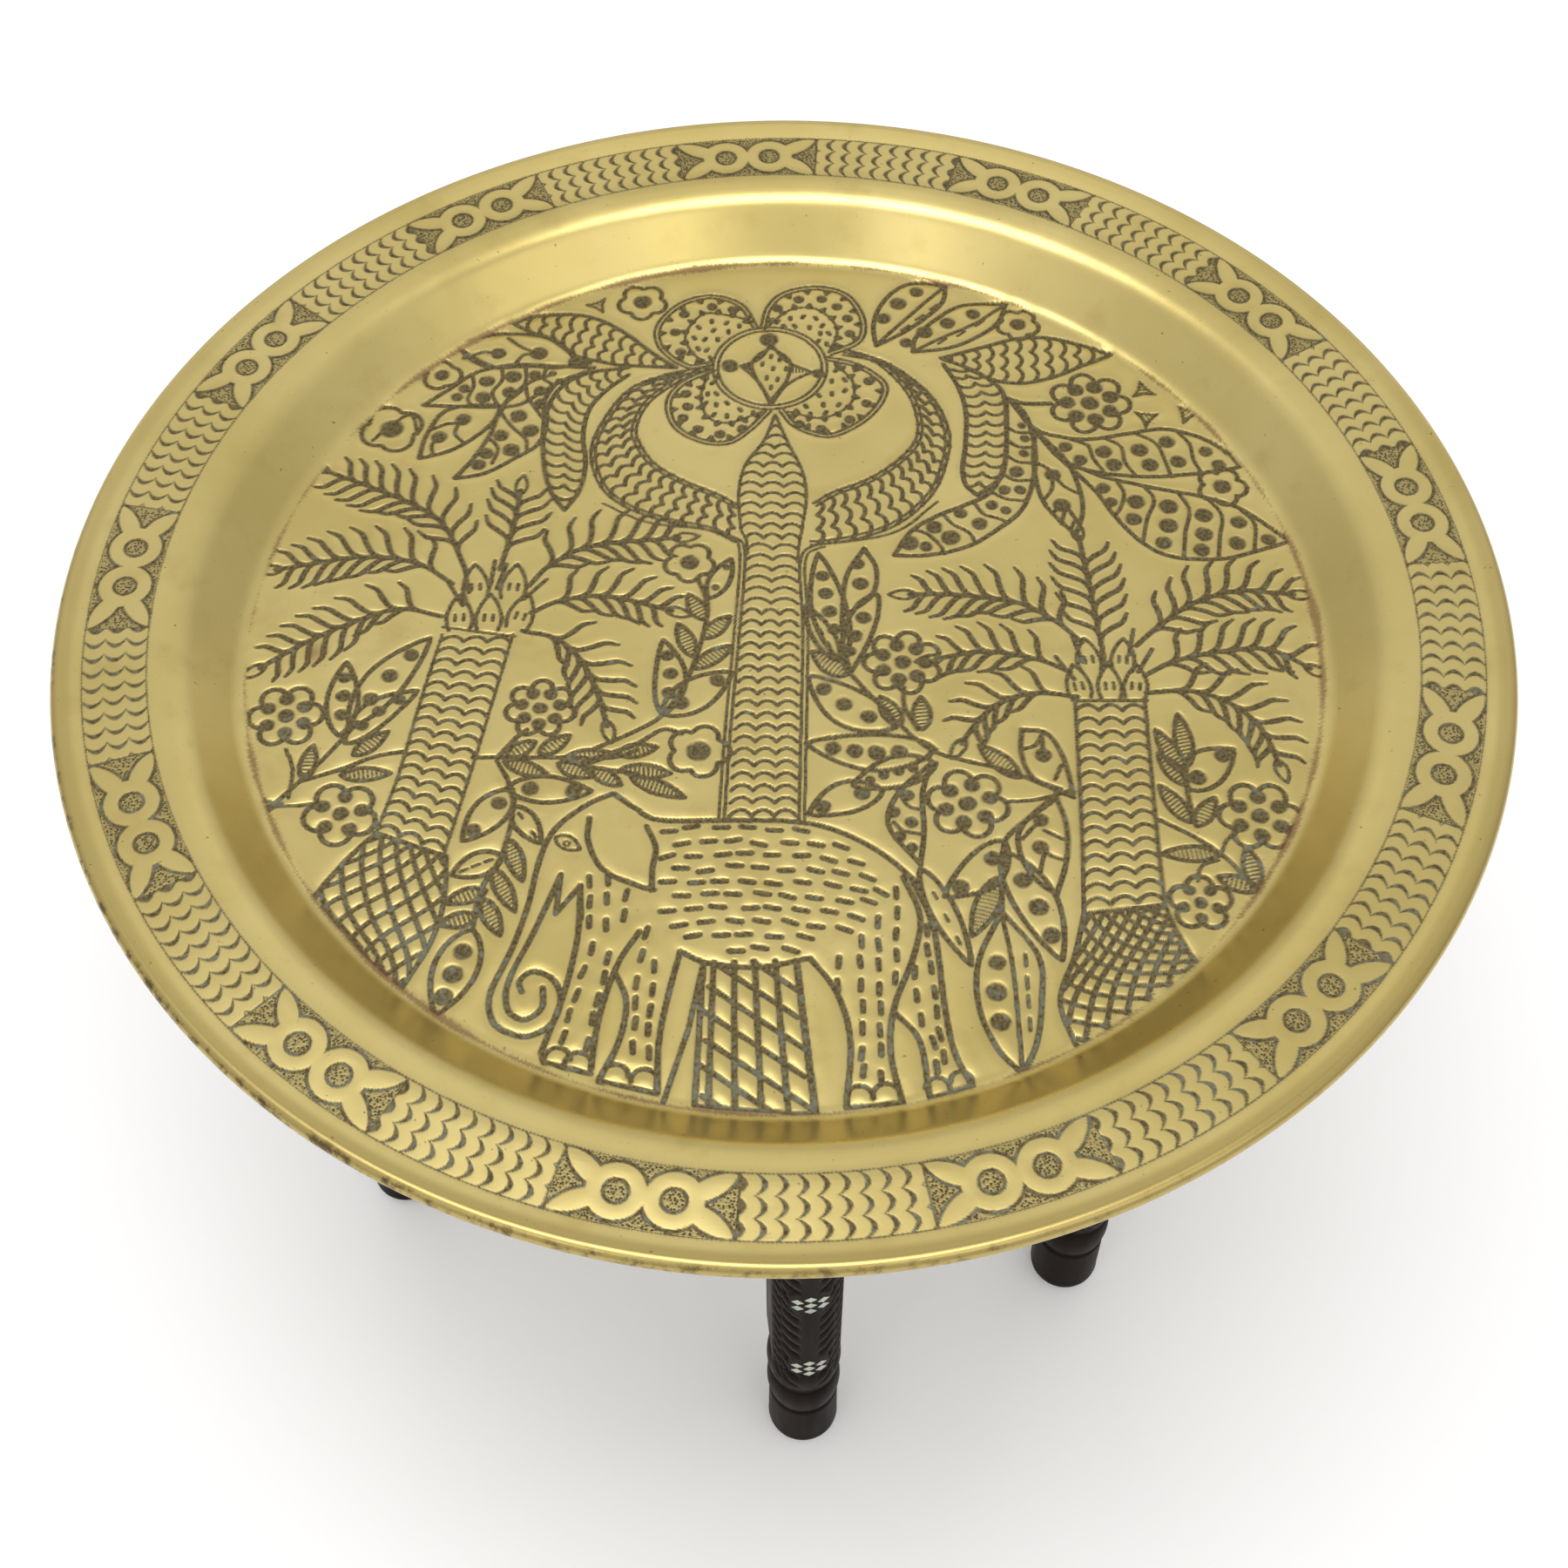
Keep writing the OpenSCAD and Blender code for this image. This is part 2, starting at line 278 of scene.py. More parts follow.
def leaf_sides(base, tip, width, bend=0.0, steps=18):
    """The two sides of a pointed leaf, from its base to its tip."""
    base, tip = np.array(base, float), np.array(tip, float)
    side = left_of(unit(tip - base))
    t = np.linspace(0, 1, steps)[:, None]
    middle = base + (tip - base) * t + side * bend * np.sin(math.pi * t)
    half = side * width / 2 * np.sin(math.pi * t ** 0.85) ** 0.8
    return middle + half, middle - half


def hatch_leaf(plate, base, tip, width=6.0):
    """A small leaf filled with fine hatching."""
    left, right = leaf_sides(base, tip, width)
    plate.lines((left, right), 1.7)
    for share in np.arange(0.1, 0.92, 1.7 / np.linalg.norm(np.subtract(tip, base))):
        plate.line([at_share(left, share), at_share(right, share + 0.04)], HATCH, 0.85)


def pod(plate, base, tip, width, dots, bend=0.0, size=2.3):
    """A leaf with one row of dots down its middle."""
    left, right = leaf_sides(base, tip, width, bend)
    plate.lines((left, right))
    for share in np.linspace(0.3, 0.78, dots) if dots > 1 else [0.5]:
        x, y = (at_share(left, share) + at_share(right, share)) / 2
        plate.dot(x, y, size * (1.1 - 0.35 * abs(share - 0.5)))


def dash_leaf(plate, base, tip, width, dashes=3):
    """A leaf with a broken line down its middle."""
    left, right = leaf_sides(base, tip, width)
    plate.lines((left, right))
    turn = math.degrees(math.atan2(tip[1] - base[1], tip[0] - base[0]))
    for share in np.linspace(0.3, 0.75, dashes):
        x, y = (at_share(left, share) + at_share(right, share)) / 2
        plate.dash(x, y, 3, turn, 1.4)


def bean_leaf(plate, upper, lower, dots, dividers=()):
    """A broad leaf of two drawn sides, with dots and curved dividers."""
    plate.curve(upper)
    plate.curve(lower)
    plate.dots(dots)
    for points in dividers:
        plate.curve(points, width=1.6)


def rosette(plate, x, y, r, petals=7, turn=0.0):
    """A round flower whose outline curls in to a dot between its petals."""
    a = np.linspace(0, 2 * math.pi, petals * 10 + 1)
    out = r * (0.66 + 0.34 * np.abs(np.sin(petals * (a - turn) / 2)) ** 0.6)
    plate.line(np.stack([x + out * np.cos(a), y + out * np.sin(a)], -1), 1.9)
    plate.dot(x, y, 0.19 * r)
    for k in range(petals):
        way = turn + 2 * math.pi * k / petals
        plate.dot(x + 0.56 * r * math.cos(way), y + 0.56 * r * math.sin(way), 0.175 * r)


def blossom(plate, x, y, r, turn=0.3, petals=5):
    """A flower of plain petals round one ringed dot."""
    a = np.linspace(0, 2 * math.pi, petals * 10 + 1)
    out = r * (0.72 + 0.28 * np.abs(np.sin(petals * (a - turn) / 2)) ** 0.7)
    plate.line(np.stack([x + out * np.cos(a), y + out * np.sin(a)], -1), 1.8)
    plate.dot(x, y, 0.32 * r)


def thorn(plate, x, y, r, turn):
    """A hatched triangle with hollow sides."""
    middle = np.array([x, y])
    angles = (turn, turn + 2.094, turn + 4.188)
    corners = [middle + r * np.array([math.cos(angle), math.sin(angle)]) for angle in angles]
    for a, b in zip(corners, corners[1:] + corners[:1]):
        hollow = (a + b) / 2 + 0.3 * (middle - (a + b) / 2)
        plate.curve([a, hollow, b], width=1.1)
    tip, one, other = corners
    for share in (0.2, 0.4, 0.6, 0.8):
        plate.line([tip + (one - tip) * share, tip + (other - tip) * share], HATCH, 0.5)


# a frond's side stroke, as places along and away from the midrib in shares of its length
SWAY = [(0, 0), (0.29, 0.09), (0.49, 0.36), (0.66, 0.66), (0.95, 0.82)]


def frond(plate, points, reach=16.0, gap=8.3):
    """A palm frond: a midrib with swaying side strokes that get shorter towards its end."""
    rib = smooth(points)
    plate.line(rib, 2.0)
    total = lengths(rib)[-1]
    count = int((total - 13) / gap)
    for k in range(count):
        share = (10 + k * gap) / total
        ahead = heading(rib, share)
        length = reach * (0.62 + 0.5 * math.sin(math.pi * min(share + 0.1, 1)))
        for sign in (-1, 1):
            out = sign * left_of(ahead)
            begin = at_share(rib, min(share + (0.4 * gap / total if sign > 0 else 0), 1))
            sway = [begin + (along * ahead + aside * out) * length for along, aside in SWAY]
            plate.swell(smooth(sway, steps=4), 2.2)
    end, ahead = rib[-1], heading(rib, 1)
    plate.lines(leaf_sides(end - 3 * ahead, end + 9 * ahead, 5, steps=9), 1.4)


def lattice(plate, left, right, families, width=1.8):
    """Crossing lines on a flared foot: each family's slope is the share of the width that a line
    crosses from top to bottom, and its gap is the share between neighbours."""
    left, right = smooth(left), smooth(right)
    down = np.linspace(0, 1, 30)
    a, b = at_share(left, down), at_share(right, down)
    plate.lines((a, b), width)
    for slope, gap in families:
        for start in np.arange(min(0, -slope) + gap / 2, 1 + max(0, -slope), gap):
            across = start + slope * down
            shown = (across >= 0) & (across <= 1)
            run = a * (1 - across[:, None]) + b * across[:, None]
            plate.line(run[shown], width)


def bud(plate, x, y, w, h, turn=0.0):
    """A pointed bud at a palm's crown, with two short dashes."""
    lean = math.radians(turn)
    base, up = np.array([x, y]), np.array([math.sin(lean), math.cos(lean)])
    left, right = leaf_sides(base - up * h * 0.25, base + up * h, w, steps=10)
    plate.lines((left[2:], right[2:]), 1.5)
    for shift in (-0.17, 0.17):
        x1, y1 = base + up * h * 0.36 + left_of(up) * w * shift
        plate.dash(x1, y1, 3.4, 90 - turn, 1.4)


def stem(plate, *points, width=1.8):
    plate.curve(points, width=width)


# ---- the picture ----

def draw_trunk(plate):
    """The middle trunk, which carries the great flower and opens into two crescents."""
    left = [(-24, -95), (-22, -50), (-19, 0), (-17, 45), (-22, 54), (-35, 59), (-60, 63), (-80, 74)]
    right = [(6, -95), (8, 0), (7, 40), (14, 50), (28, 52), (50, 58), (68, 75)]
    for points, side in ((left, 2.2), (right, -2.2)):
        edge = smooth(points)
        plate.line(edge, FINE)
        plate.line(beside(edge[:24], side), FINE, 0.8)
    inner_left = smooth([(-22, -95), (-19, -20), (-16, 45), (-19, 60), (-20, 82), (-17, 98), (-9, 112),
                         (-4, 128)])
    inner_right = smooth([(5, -95), (6, -20), (6, 40), (8, 60), (10, 78), (8, 94), (2, 110), (-4, 128)])
    plate.lines((inner_left[-36:], inner_right[-36:]), FINE)
    scallops(plate, inner_left, inner_right, pitch=5.9, arc=9.3, rise=2.8, width=1.5)


def draw_crescents(plate):
    left_out = [(-20, 51), (-32, 58), (-50, 63), (-70, 72), (-82, 85), (-87, 105), (-82, 125),
                (-70, 145), (-50, 155), (-33, 158)]
    left_in = [(-20, 73), (-30, 80), (-45, 88), (-58, 98), (-65, 110), (-67, 120), (-62, 135),
               (-50, 148), (-40, 154), (-33, 158)]
    right_out = [(12, 50), (30, 53), (50, 62), (65, 78), (72, 95), (75, 115), (70, 135), (60, 150),
                 (45, 163), (28, 168)]
    right_in = [(13, 74), (22, 81), (38, 89), (52, 101), (60, 114), (60, 130), (55, 145), (45, 159),
                (38, 164), (28, 168)]
    for out, inner, side in ((left_out, left_in, -1), (right_out, right_in, 1)):
        out, inner = smooth(out), smooth(inner)
        for edge, shift in ((out, 2.0 * side), (inner, -2.0 * side)):
            plate.line(edge, FINE)
            plate.line(beside(edge, shift), FINE, 0.8)
        keep = int(len(out) * 0.9)
        scallops(plate, out[:keep], inner[:keep], pitch=6.4, arc=8.6, rise=3.0, width=1.7)


PETALS = [  # outline, inner line, dots between them, spots inside
    ([(-12, 184), (-20, 200), (-35, 206), (-50, 200), (-60, 185), (-58, 170), (-45, 158), (-33, 160)],
     [(-14, 188), (-25, 192), (-38, 193), (-46, 180), (-43, 168), (-35, 160)],
     [(-34, 198), (-24, 196), (-47, 193), (-51, 181), (-48, 168)],
     [(-27, 187), (-34, 188), (-40, 184), (-33, 182), (-26, 181), (-42, 177), (-37, 176), (-31, 176),
      (-40, 170), (-36, 169), (-21, 185), (-34, 164)]),
    ([(-11, 184), (-8, 198), (0, 208), (15, 212), (30, 207), (38, 190), (36, 175), (22, 166)],
     [(-7, 186), (3, 196), (14, 197), (22, 190), (25, 180), (21, 168)],
     [(-3, 197), (7, 203), (18, 203), (25, 198), (30, 190), (31, 180)],
     [(-3, 188), (3, 190), (5, 185), (9, 191), (12, 184), (15, 190), (18, 185), (17, 180), (21, 180),
      (16, 175), (20, 173), (0, 185)]),
    ([(20, 165), (35, 160), (47, 148), (45, 135), (35, 122), (20, 114), (5, 120), (-2, 130)],
     [(24, 160), (32, 148), (30, 134), (17, 126), (2, 130)],
     [(34, 158), (39, 149), (38, 135), (30, 125), (17, 119), (7, 122)],
     [(24, 156), (22, 149), (28, 150), (28, 143), (22, 141), (16, 140), (25, 134), (18, 134), (10, 133),
      (19, 129), (12, 128), (6, 130)]),
    ([(-33, 158), (-48, 148), (-54, 135), (-50, 120), (-38, 111), (-25, 110), (-15, 118), (-6, 130)],
     [(-35, 154), (-38, 140), (-35, 127), (-25, 123), (-10, 130)],
     [(-45, 141), (-44, 133), (-46, 126), (-39, 119), (-29, 116), (-19, 119)],
     [(-33, 148), (-35, 141), (-31, 141), (-36, 135), (-31, 134), (-26, 135), (-32, 128), (-26, 127),
      (-20, 131), (-20, 126), (-14, 129), (-31, 152)]),
]


def draw_flower(plate):
    """The great flower: a disc with a four-cornered star, and four lace-edged petals."""
    x, y, r = -6.5, 158, 26.5
    plate.lines((circle(x, y, r), circle(x, y, r - 2.4)), FINE)
    corners = [(-6, 173), (13, 155), (-6, 134), (-20, 159)]
    lens = [(-6, 171), (3, 159), (-6, 137), (-15, 159)]
    for a, b in zip(corners, corners[1:] + corners[:1]):
        middle = np.add(a, b) / 2
        hollow = middle + 0.22 * (np.array([x, y - 3]) - middle)
        plate.curve([a, hollow, b], width=1.5)
    plate.curve([lens[0], (1, 165), lens[1], (1, 149), lens[2]], width=1.5)
    plate.curve([lens[0], (-12, 166), lens[3], (-12, 149), lens[2]], width=1.5)
    for k in range(5):
        for x, y, reach in ((4.2 + 1.5 * k, 156.6 - 0.3 * k, 2.2 - 0.4 * k),
                            (-15 - 0.9 * k, 159, 3.2 - 0.6 * k)):
            plate.line([(x, y + reach), (x, y - reach)], HATCH, 0.6)
    for spot in [(-6, 165), (-10, 160), (-2, 163), (-5, 157), (1, 157), (-8, 151), (-3, 150),
                 (-6, 145)]:
        plate.dash(*spot, 1.8, 80, 1.7)
    plate.dots([(-7, 176, 3.6), (-25, 159, 3.4), (16, 154, 2.6)])
    for outline, inner, dots, spots in PETALS:
        edge, lace = smooth(outline), smooth(inner)
        middle = np.mean(outline, 0)
        side = 1 if np.dot(left_of(heading(edge, 0.5)), middle - at_share(edge, 0.5)) > 0 else -1
        plate.line(edge, FINE)
        plate.line(beside(edge, 2.1 * side), FINE)
        plate.line(lace, FINE)
        for line, sign, count in ((beside(edge, 2.6 * side), side, 10), (lace, -side, 9)):
            for share in np.linspace(0.06, 0.94, count):
                foot, along = at_share(line, share), heading(line, share)
                inward = sign * left_of(along)
                plate.line([foot - 1.3 * along, foot + 2.4 * inward, foot + 1.3 * along], 1.5, 0.9)
                plate.segment(foot, foot + 1.4 * inward, 2.2, 0.9)
        plate.dots([(x, y, 2.2) for x, y in dots])
        for k, (x, y) in enumerate(spots):
            plate.dash(x, y, 1.6, 60 + 30 * (k % 3), 1.9)


def draw_left_wing(plate):
    scallop_band(plate,
                 [(-50, 158), (-62, 168), (-75, 181), (-88, 190), (-100, 193), (-115, 192),
                  (-128, 187)],
                 [(-50, 158), (-68, 159), (-82, 161), (-97, 166), (-107, 176), (-118, 181),
                  (-128, 187)],
                 pitch=6.2, arc=9)
    scallop_band(plate,
                 [(-72, 158), (-92, 154), (-104, 143), (-109, 125), (-108, 100), (-104, 82), (-97, 70)],
                 [(-72, 153), (-82, 143), (-89, 131), (-91, 115), (-89, 98), (-91, 82), (-97, 70)],
                 pitch=6, arc=9)
    bean_leaf(plate,
              [(-152, 171), (-140, 178), (-128, 180), (-112, 178), (-102, 170), (-97, 164), (-90, 161)],
              [(-152, 171), (-144, 162), (-134, 158), (-118, 159), (-105, 158), (-90, 161)],
              [(-133, 167, 3.0), (-114, 167, 3.4), (-97, 161, 3.0)],
              [[(-149, 164), (-140, 168), (-134, 167)], [(-125, 160), (-121, 166), (-115, 167)],
               [(-129, 177), (-122, 171), (-115, 168)], [(-151, 170), (-142, 163), (-135, 159)]])
    bean_leaf(plate, [(-88, 158), (-105, 159), (-125, 160), (-142, 155), (-152, 146), (-165, 134)],
              [(-90, 156), (-100, 151), (-112, 142), (-122, 134), (-140, 133), (-165, 134)],
              [(-125, 152, 3.3), (-115, 153, 2.6), (-107, 154, 1.7), (-102, 149, 2), (-137, 149, 3.1),
               (-147, 144.5, 2.4), (-150, 139, 2.4), (-138, 139, 3.1), (-126, 142, 3.0)],
              [[(-131, 159), (-130, 150), (-134, 142), (-131, 134)],
               [(-120, 159), (-119, 151), (-121, 143), (-128, 135)],
               [(-144, 153), (-143, 146), (-145, 138), (-143, 134)],
               [(-110, 158), (-111, 151), (-106, 147)]])
    bean_leaf(plate, [(-164, 101), (-162, 115), (-155, 130), (-142, 134), (-128, 134)],
              [(-164, 101), (-150, 106), (-138, 116), (-131, 126), (-128, 134)],
              [(-146, 125, 3.1), (-156, 114, 3.1)],
              [[(-161, 118), (-154, 122), (-149, 123)], [(-148, 123), (-149, 116), (-145, 111)],
               [(-158, 103), (-159, 109), (-157, 112)]])
    bean_leaf(plate, [(-147, 89), (-140, 100), (-133, 116), (-129, 133), (-118, 148), (-106, 154)],
              [(-147, 89), (-134, 92), (-121, 101), (-111, 110), (-108, 122), (-110, 136), (-104, 150)],
              [(-121, 127, 3.4), (-115, 118, 3.3), (-111, 135, 2.9), (-112, 143, 2.6), (-128, 115, 3.1),
               (-123, 106, 3.3), (-134, 104, 2.8), (-137, 97, 2.8)],
              [[(-129, 129), (-124, 121), (-117, 113), (-116, 107)],
               [(-134, 114), (-129, 107), (-131, 98)], [(-119, 146), (-117, 138), (-110, 126)]])
    blossom(plate, -67, 201, 11.5)
    thorn(plate, -88, 199, 5.5, 1.0)
    blossom(plate, -158, 153, 9, 0.9, 3)
    blossom(plate, -178, 119, 14, 1.2, 4)
    plate.curve([(-186, 112), (-178, 122), (-170, 128), (-166, 116)], width=1.5)


def draw_right_wing(plate):
    bean_leaf(plate, [(43, 172), (42, 185), (45, 197), (52, 208), (62, 214), (77, 212)],
              [(43, 172), (55, 180), (66, 190), (75, 201), (77, 212)],
              [(63, 208, 2.8), (54, 200, 3.4), (47, 190, 3.0)],
              [[(44, 174), (56, 188), (66, 200), (76, 211)]])
    bean_leaf(plate, [(60, 168), (62, 178), (72, 190), (85, 199), (105, 200)],
              [(60, 168), (78, 171), (92, 179), (101, 188), (105, 200)],
              [(57, 174, 2.6), (66, 181, 3.3), (77, 187, 3.1), (89, 193, 2.9)],
              [[(61, 169), (75, 178), (90, 187), (104, 199)]])
    for x, y in ((57, 184), (64, 191), (71, 198), (74, 175), (83, 180), (92, 187)):
        plate.dash(x, y, 5, 42, 1.2)
    blossom(plate, 110, 186, 10)
    scallop_band(plate, [(73, 164), (95, 172), (110, 177), (125, 177), (140, 172), (152, 166)],
                 [(73, 164), (85, 158), (97, 150), (110, 148), (125, 152), (140, 160), (152, 166)],
                 pitch=6.4, arc=9)
    scallop_band(plate, [(84, 158), (95, 150), (101, 140), (101, 120), (100, 105), (97, 90), (86, 79)],
                 [(74, 160), (80, 146), (83, 130), (82, 110), (80, 95), (81, 85), (86, 79)],
                 pitch=6, arc=9)
    rosette(plate, 140, 135, 18.5, 7, 0.4)
    stem(plate, (101, 139), (110, 135), (122, 135), width=2.2)
    for x, y, turn in ((165, 143, 1.7), (165, 126, 0.4), (184, 128, 2.2)):
        thorn(plate, x, y, 6, turn)
    bean_leaf(plate,
              [(103, 138), (113, 120), (126, 114), (140, 113), (155, 116), (172, 119), (186, 115),
               (197, 107), (205, 96)],
              [(113, 120), (124, 101), (136, 94), (150, 91), (165, 90), (185, 92), (205, 96)],
              [(127, 108, 2.6), (133, 100, 2.7), (144, 105, 3.2), (148, 97, 3.2), (160, 106, 3.4),
               (164, 97, 3.3), (173, 111, 3.1), (177, 99, 3.1), (190, 105, 2.7), (195, 97, 2.8)],
              [[(129, 113), (137, 109), (139, 101), (143, 93)],
               [(146, 113), (152, 108), (153, 99), (157, 91)],
               [(160, 116), (168, 110), (171, 100), (173, 90)],
               [(178, 118), (183, 110), (184, 100), (187, 92)]])
    bean_leaf(plate, [(124, 101), (140, 91), (155, 86), (170, 82), (186, 78), (203, 70), (221, 52)],
              [(124, 101), (138, 82), (148, 63), (158, 50), (170, 43), (190, 42), (205, 46), (221, 52)],
              [(142, 83, 2.7), (145, 75, 2.4), (156, 75, 3.5), (154, 65, 3.1), (170, 72, 3.6),
               (169, 61, 3.5), (166, 51, 3.1), (185, 67, 3.4), (184, 56, 3.4), (182, 47, 3.1),
               (200, 63, 3.1), (198, 51, 3.3), (212, 53, 2.9)],
              [[(148, 88), (151, 80), (149, 72), (146, 67)],
               [(160, 85), (164, 76), (160, 65), (157, 52)],
               [(175, 81), (179, 70), (176, 57), (174, 43)],
               [(188, 77), (193, 67), (191, 55), (189, 42)], [(202, 70), (207, 62), (205, 46)]])
    bean_leaf(plate,
              [(102, 138), (101, 118), (99, 98), (92, 81), (80, 73), (68, 67), (56, 58), (48, 44)],
              [(103, 138), (110, 128), (113, 110), (112, 92), (106, 72), (95, 60), (80, 49), (62, 44),
               (48, 44)],
              [(55, 51, 3.4), (62, 49, 2.5), (66, 60, 3.1), (73, 54, 3.6), (78, 68, 2.6), (86, 62, 3),
               (92, 73, 2.4), (98, 70, 2.1), (98, 82, 2.4), (105, 82, 2.3), (104, 93, 2.8),
               (108, 104, 2), (109, 113, 2), (108, 121, 1.7)],
              [[(57, 59), (63, 56), (68, 50), (70, 45)], [(70, 68), (74, 62), (81, 57), (84, 51)],
               [(84, 75), (88, 68), (95, 65), (99, 63)], [(92, 81), (98, 77), (104, 76), (108, 76)],
               [(98, 92), (103, 88), (111, 88)], [(100, 103), (105, 99), (112, 98)],
               [(101, 112), (106, 108), (113, 108)], [(101, 120), (106, 117), (112, 117)]])
    bean_leaf(plate, [(114, 118), (112, 98), (114, 78), (120, 66), (128, 56)],
              [(114, 118), (126, 101), (131, 85), (132, 70), (128, 56)],
              [(120, 91, 3.1), (123, 73, 3.3)],
              [[(114, 98), (118, 95), (120, 91)], [(115, 76), (119, 82), (120, 90)],
               [(131, 80), (125, 84), (121, 90)], [(118, 68), (123, 73)], [(122, 62), (124, 70)],
               [(130, 62), (126, 70)]])
    blossom(plate, 195, 84, 11, 0.5, 5)


def draw_left_palm(plate):
    scallop_band(plate, [(-163, -101), (-157, -75), (-151, -35), (-145, 0)],
                 [(-135, -112), (-128, -75), (-121, -35), (-115, 0)], width=FINE, pitch=6.2, arc=9.5,
                 rise=3.0)
    plate.line([(-163, -101), (-135, -112)], 1.8)
    plate.line([(-145, 4), (-114, -1)], FINE)
    lattice(plate, [(-163, -101), (-176, -118), (-184, -136), (-170, -155)],
            [(-134, -112), (-133, -130), (-136, -150), (-146, -173)], [(1.0, 0.2), (-1.0, 0.2)])
    for x, y, turn in ((-138, 2, -4), (-126, 2, 0), (-114, 3, 12), (-132, 19, -6), (-117, 19, 4)):
        bud(plate, x, y, 11, 20, turn)
    for x, y, turn in ((-141, 22, -30), (-137, 30, -12), (-126, 34, 4), (-122, 32, 14), (-107, 25, 40)):
        plate.dash(x, y, 14, 90 - turn, 1.7)
    frond(plate, [(-138, 36), (-150, 62), (-170, 77), (-206, 94)], 17)
    frond(plate, [(-143, 28), (-160, 40), (-185, 43), (-220, 36)], 17)
    frond(plate, [(-146, 10), (-165, 14), (-185, 6), (-205, -6), (-220, -18)], 16)
    frond(plate, [(-123, 36), (-119, 60), (-117, 82)], 16)
    frond(plate, [(-110, 27), (-100, 40), (-82, 50), (-46, 54)], 17)
    frond(plate, [(-108, 12), (-95, 19), (-75, 21), (-48, 13)], 15)
    frond(plate, [(-111, 2), (-97, -2), (-86, -13), (-78, -30), (-73, -48)], 16)


def draw_right_palm(plate):
    scallop_band(plate, [(117, -138), (119, -100), (121, -36)], [(149, -135), (149, -100), (150, -36)],
                 width=1.5, pitch=6.7, arc=10, rise=3.2)
    plate.line([(117, -139), (149, -135)], 1.8)
    plate.line([(120, -35), (151, -35)], 1.5)
    lattice(plate, [(117, -139), (112, -158), (105, -178), (110, -198)],
            [(149, -135), (152, -146), (156, -156), (159, -162)], [(1.2, 0.17), (-0.7, 0.17)])
    for x, y, turn in ((124, -34, -8), (136, -34, 0), (146, -34, 8), (129, -20, -6), (142, -20, 6)):
        bud(plate, x, y, 10, 18, turn)
    for x, y, turn in ((124, -8, -14), (118, -18, -30), (147, -4, 12), (152, -14, 30)):
        plate.dash(x, y, 14, 90 - turn, 1.7)
    frond(plate, [(135, -15), (133, 10), (131, 35), (129, 55)], 17)
    frond(plate, [(126, -4), (115, 8), (99, 18), (72, 22), (54, 22)], 17)
    frond(plate, [(120, -20), (106, -13), (85, -9), (64, -13)], 15)
    frond(plate, [(122, -33), (105, -31), (90, -36), (80, -46), (73, -57)], 15)
    frond(plate, [(149, -6), (160, 5), (175, 17), (195, 24), (219, 22)], 17)
    frond(plate, [(151, -22), (165, -14), (185, -9), (205, -8), (221, -18)], 16)
    frond(plate, [(151, -31), (170, -30), (186, -37), (197, -50), (202, -68)], 16)


def draw_far_left(plate):
    pod(plate, (-179, -48), (-150, -2), 17, 3, 2, 2.8)
    pod(plate, (-183, -53), (-184, -15), 13, 3, 0, 2.5)
    pod(plate, (-180, -57), (-153, -30), 13, 3, 3, 2.3)
    rosette(plate, -206, -43, 15.5, 6, 0.6)
    rosette(plate, -178, -92, 15, 5, 0.2)
    for base, tip in (((-176, -63), (-163, -51)), ((-195, -75), (-193, -58)),
                      ((-180, -73), (-160, -72))):
        hatch_leaf(plate, base, tip, 6.5)
    stem(plate, (-208, -90), (-198, -78), (-186, -62), (-176, -46))
    stem(plate, (-196, -76), (-180, -70), (-168, -64), (-155, -61))
    stem(plate, (-205, -88), (-196, -88), (-190, -87), width=1.5)
    stem(plate, (-204, -60), (-200, -70), (-200, -84), width=1.5)
    thorn(plate, -207, -88, 5, 2.4)


def draw_middle_left(plate):
    rosette(plate, -101, -39, 14.5, 7, 0.2)
    stem(plate, (-127, -64), (-112, -64), (-92, -64), (-70, -64), (-60, -60))
    stem(plate, (-117, -64), (-110, -54), (-106, -50))
    stem(plate, (-92, -64), (-78, -69), (-60, -72))
    stem(plate, (-82, -66), (-62, -58), (-50, -50), (-42, -52))
    for base, tip in (((-113, -63), (-102, -56)), ((-100, -62), (-88, -53)), ((-114, -66), (-96, -73)),
                      ((-90, -65), (-70, -62)), ((-68, -62), (-52, -59)), ((-66, -70), (-46, -72)),
                      ((-78, -70), (-66, -78)), ((-62, -74), (-40, -84)), ((-92, -67), (-78, -74))):
        hatch_leaf(plate, base, tip, 6.5)
    blossom(plate, -35, -61, 13, 0.6)
    blossom(plate, -41, 40, 11, 0.3)
    stem(plate, (-37, 30), (-33, 18), (-33, 8), (-36, -8), (-41, -25), (-50, -42), (-60, -50),
         (-78, -60))
    pod(plate, (-32, 20), (-23, 42), 9, 2, 0, 1.5)
    for base, tip in (((-34, 8), (-41, 22)), ((-34, -2), (-23, 10)), ((-38, -12), (-45, 6)),
                      ((-38, -18), (-22, -6))):
        hatch_leaf(plate, base, tip, 7)
    pod(plate, (-50, -42), (-51, -3), 13, 3, -3, 2.5)
    pod(plate, (-50, -42), (-22, -20), 16, 2, 0, 2.8)
    pod(plate, (-112, -79), (-78, -81), 13, 2, 0, 2.9)
    stem(plate, (-117, -66), (-111, -78), (-109, -92), (-112, -112), (-119, -128), (-121, -146))
    pod(plate, (-110, -80), (-128, -105), 14, 2, 0, 2.7)
    dash_leaf(plate, (-109, -88), (-97, -106), 9, 2)
    dash_leaf(plate, (-112, -112), (-131, -121), 11, 3)
    for base, tip in (((-110, -104), (-103, -124)), ((-115, -118), (-105, -138)),
                      ((-117, -128), (-133, -134)), ((-118, -132), (-110, -149)),
                      ((-120, -140), (-134, -144))):
        hatch_leaf(plate, base, tip, 6.5)
    pod(plate, (-121, -146), (-132, -184), 17, 3, 0, 3.1)


